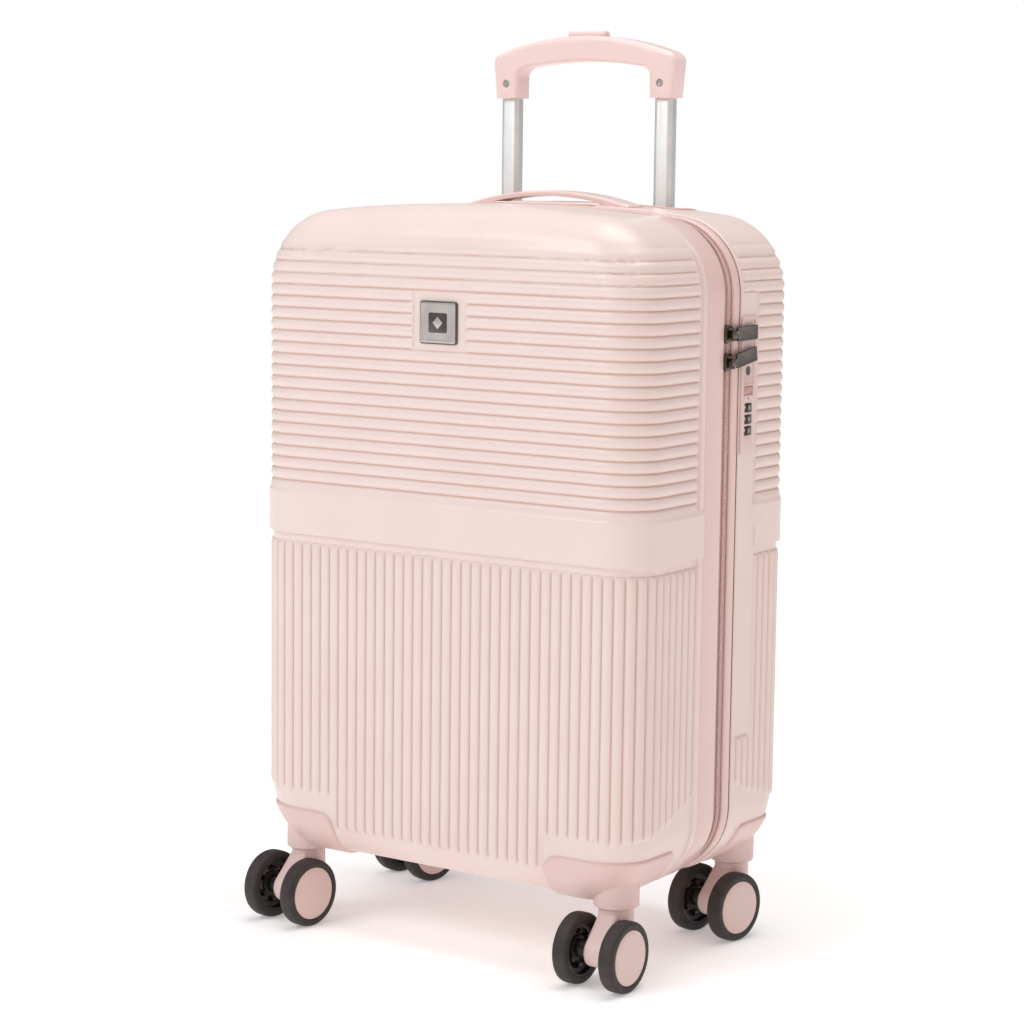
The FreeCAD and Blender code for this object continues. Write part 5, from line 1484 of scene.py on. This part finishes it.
# ---- badge ------------------------------------------------------------------------------
class SUITCASE_OT_badge(bpy.types.Operator):
    """Fit the plain metal badge with its dark surround and a plain lozenge"""
    bl_idname = "suitcase.badge"
    bl_label = "Badge"

    def execute(self, context):
        look = finishes()
        half_w, half_h = (BADGE_HIGH.x - BADGE_LOW.x) / 2, (BADGE_HIGH.z - BADGE_LOW.z) / 2
        face = BADGE_LOW.y

        def ring(grow, radius, y):
            return [(x, y, BADGE_Z + z) for x, z in rounded_outline(half_w + grow, half_h + grow, radius, 5)]

        plate = loft("plate", [ring(0, 1.5, face + 2.9), ring(0, 1.5, face + 0.35), ring(-0.3, 1.4, face + 0.05),
                               ring(-0.7, 1.2, face), ring(-1.9, 0.9, face), ring(-2.2, 0.8, face + 0.3),
                               ring(-8.0, 0.6, face + 0.3)], angle=30)
        surround = loft("surround", [ring(0.9, 2.2, face + 2.9), ring(0.9, 2.2, face + 1.0),
                                     ring(0.6, 2.0, face + 0.8), ring(-0.4, 1.5, face + 0.8)], angle=30)
        field = loft("field", [ring(-7.6, 1.2, face + 0.4), ring(-7.6, 1.2, face + 0.2), ring(-7.8, 1.0, face + 0.12)],
                     angle=30)
        size = 4.6
        lozenge = [[(size * scale * a, y, BADGE_Z + size * scale * b) for a, b in ((1, 0), (0, 1), (-1, 0), (0, -1))]
                   for scale, y in ((1.0, face + 0.2), (1.0, face - 0.02), (0.9, face - 0.1))]
        mark = loft("mark", lozenge, angle=20)
        for mesh, finish in ((plate, "nickel"), (surround, "enamel"), (field, "enamel"), (mark, "nickel")):
            mesh.materials.append(look[finish])
        piece = join_meshes("badge_look", [plate, surround, field, mark])
        finish_piece(piece, "lid", "badge_metal", "badge")
        return {"FINISHED"}


# ---- stage ------------------------------------------------------------------------------
def soft_light(name, place, aim, size, watts, colour="#ffffff"):
    light = bpy.data.lights.new(name, "AREA")
    light.energy = watts
    light.size = size
    light.color = linear(colour)[:3]
    lamp = new_object(name, light)
    lamp.location = place
    lamp.rotation_euler = (Vector(aim) - Vector(place)).to_track_quat("-Z", "Y").to_euler()


class SUITCASE_OT_stage(bpy.types.Operator):
    """Set the camera, the soft studio lights and the floor, which glows with painted light"""
    bl_idname = "suitcase.stage"
    bl_label = "Stage"

    def execute(self, context):
        scene = context.scene
        scene.view_settings.view_transform = "Standard"
        camera = bpy.data.cameras.new("camera")
        azimuth, height, roll, reach = math.radians(34.6), math.radians(7.5), math.radians(0.7), 2.1147
        back = Vector((math.sin(azimuth) * math.cos(height), -math.cos(azimuth) * math.cos(height),
                       math.sin(height)))
        across = Vector((math.cos(azimuth), math.sin(azimuth), 0))
        across = across * math.cos(roll) + back.cross(across) * math.sin(roll)
        seat = Matrix((across, back.cross(across), back)).transposed().to_4x4()
        seat.translation = Vector((-0.0092, MID_Y / 1000 - 0.0021, 0.3277)) + back * reach
        stand = new_object("camera", camera)
        stand.matrix_world = seat
        camera.lens = 95.12
        camera.sensor_width = 36
        camera.clip_end = 30
        scene.camera = stand
        # white paper: matt, very faint fibre clouding, and a painted glow that grows away from the middle, so the floor
        # near the case is darker than far off
        paper, tree, shader = blank_material("matt_white_paper", "#fbfbfb", 0.9)
        where = add_node(tree, "ShaderNodeTexCoord").outputs["Object"]
        tree.links.new(blend_colours(tree, between(tree, mottle(tree, 90, 3, where), 0, 0.3), "#fbfbfb", "#f8f7f7"),
                       shader.inputs["Base Color"])
        # painted light: the floor glows, weakly near the case and more strongly far from it
        shader.inputs["Emission Color"].default_value = linear("#ffffff")
        away = add_node(tree, "ShaderNodeVectorMath", {0: where}, operation="LENGTH").outputs["Value"]
        tree.links.new(between(tree, away, 0.28, 0.66, 0.6, 2.6), shader.inputs["Emission Strength"])
        wide = 9.0
        floor = new_object("floor", mesh_from("floor", [(-wide, -wide, 0), (wide, -wide, 0), (wide, wide, 0),
                                                        (-wide, wide, 0)], [(0, 1, 2, 3)], smooth=False))
        paint(floor, paper)
        world = bpy.data.worlds.new("studio")
        scene.world = world
        world.use_nodes = True
        nodes = world.node_tree.nodes
        nodes["Background"].inputs["Color"].default_value = linear("#ffffff")
        nodes["Background"].inputs["Strength"].default_value = 0.36
        plain = add_node(world.node_tree, "ShaderNodeBackground", {"Color": (1, 1, 1, 1), "Strength": 1.0})
        seen = add_node(world.node_tree, "ShaderNodeLightPath").outputs["Is Camera Ray"]
        mix = add_node(world.node_tree, "ShaderNodeMixShader", {0: seen, 1: nodes["Background"].outputs[0],
                                                                2: plain.outputs[0]})
        world.node_tree.links.new(mix.outputs[0], nodes["World Output"].inputs["Surface"])
        soft_light("key", (-1.0, -2.2, 2.1), (0, 0, 0.35), 1.3, 27)
        soft_light("top", (0.2, 0.1, 2.4), (0, 0, 0.4), 1.4, 26)
        soft_light("side", (2.4, -0.6, 1.2), (0, 0, 0.3), 1.2, 4.5, "#ffc8a4")
        return {"FINISHED"}


# ---- panel, registration and the run ----------------------------------------------------
OPERATORS = (SUITCASE_OT_shells, SUITCASE_OT_rims, SUITCASE_OT_zip, SUITCASE_OT_hinge, SUITCASE_OT_linings,
             SUITCASE_OT_guards, SUITCASE_OT_casters, SUITCASE_OT_wheels, SUITCASE_OT_trolley, SUITCASE_OT_carry,
             SUITCASE_OT_lock, SUITCASE_OT_pulls, SUITCASE_OT_badge, SUITCASE_OT_stage)


class SUITCASE_PT_pieces(bpy.types.Panel):
    """Lists the suitcase's sizes, colours and pieces"""
    bl_idname = "SUITCASE_PT_pieces"
    bl_label = "Suitcase"
    bl_space_type = "VIEW_3D"
    bl_region_type = "UI"
    bl_category = "Suitcase"

    def draw(self, context):
        layout = self.layout
        for group in (context.scene.suitcase_sizes, context.scene.suitcase_colours):
            for name in group.__annotations__:
                layout.prop(group, name)
        for operator in OPERATORS:
            layout.operator(operator.bl_idname)


CLASSES = (SuitcaseSizes, SuitcaseColours) + OPERATORS + (SUITCASE_PT_pieces,)


def register():
    for cls in CLASSES:
        bpy.utils.register_class(cls)
    bpy.types.Scene.suitcase_sizes = PointerProperty(type=SuitcaseSizes)
    bpy.types.Scene.suitcase_colours = PointerProperty(type=SuitcaseColours)


def unregister():
    del bpy.types.Scene.suitcase_colours
    del bpy.types.Scene.suitcase_sizes
    for cls in reversed(CLASSES):
        bpy.utils.unregister_class(cls)


def main():
    register()
    for operator in OPERATORS:
        group, name = operator.bl_idname.split(".")
        getattr(getattr(bpy.ops, group), name)()


if __name__ == "__main__":
    main()
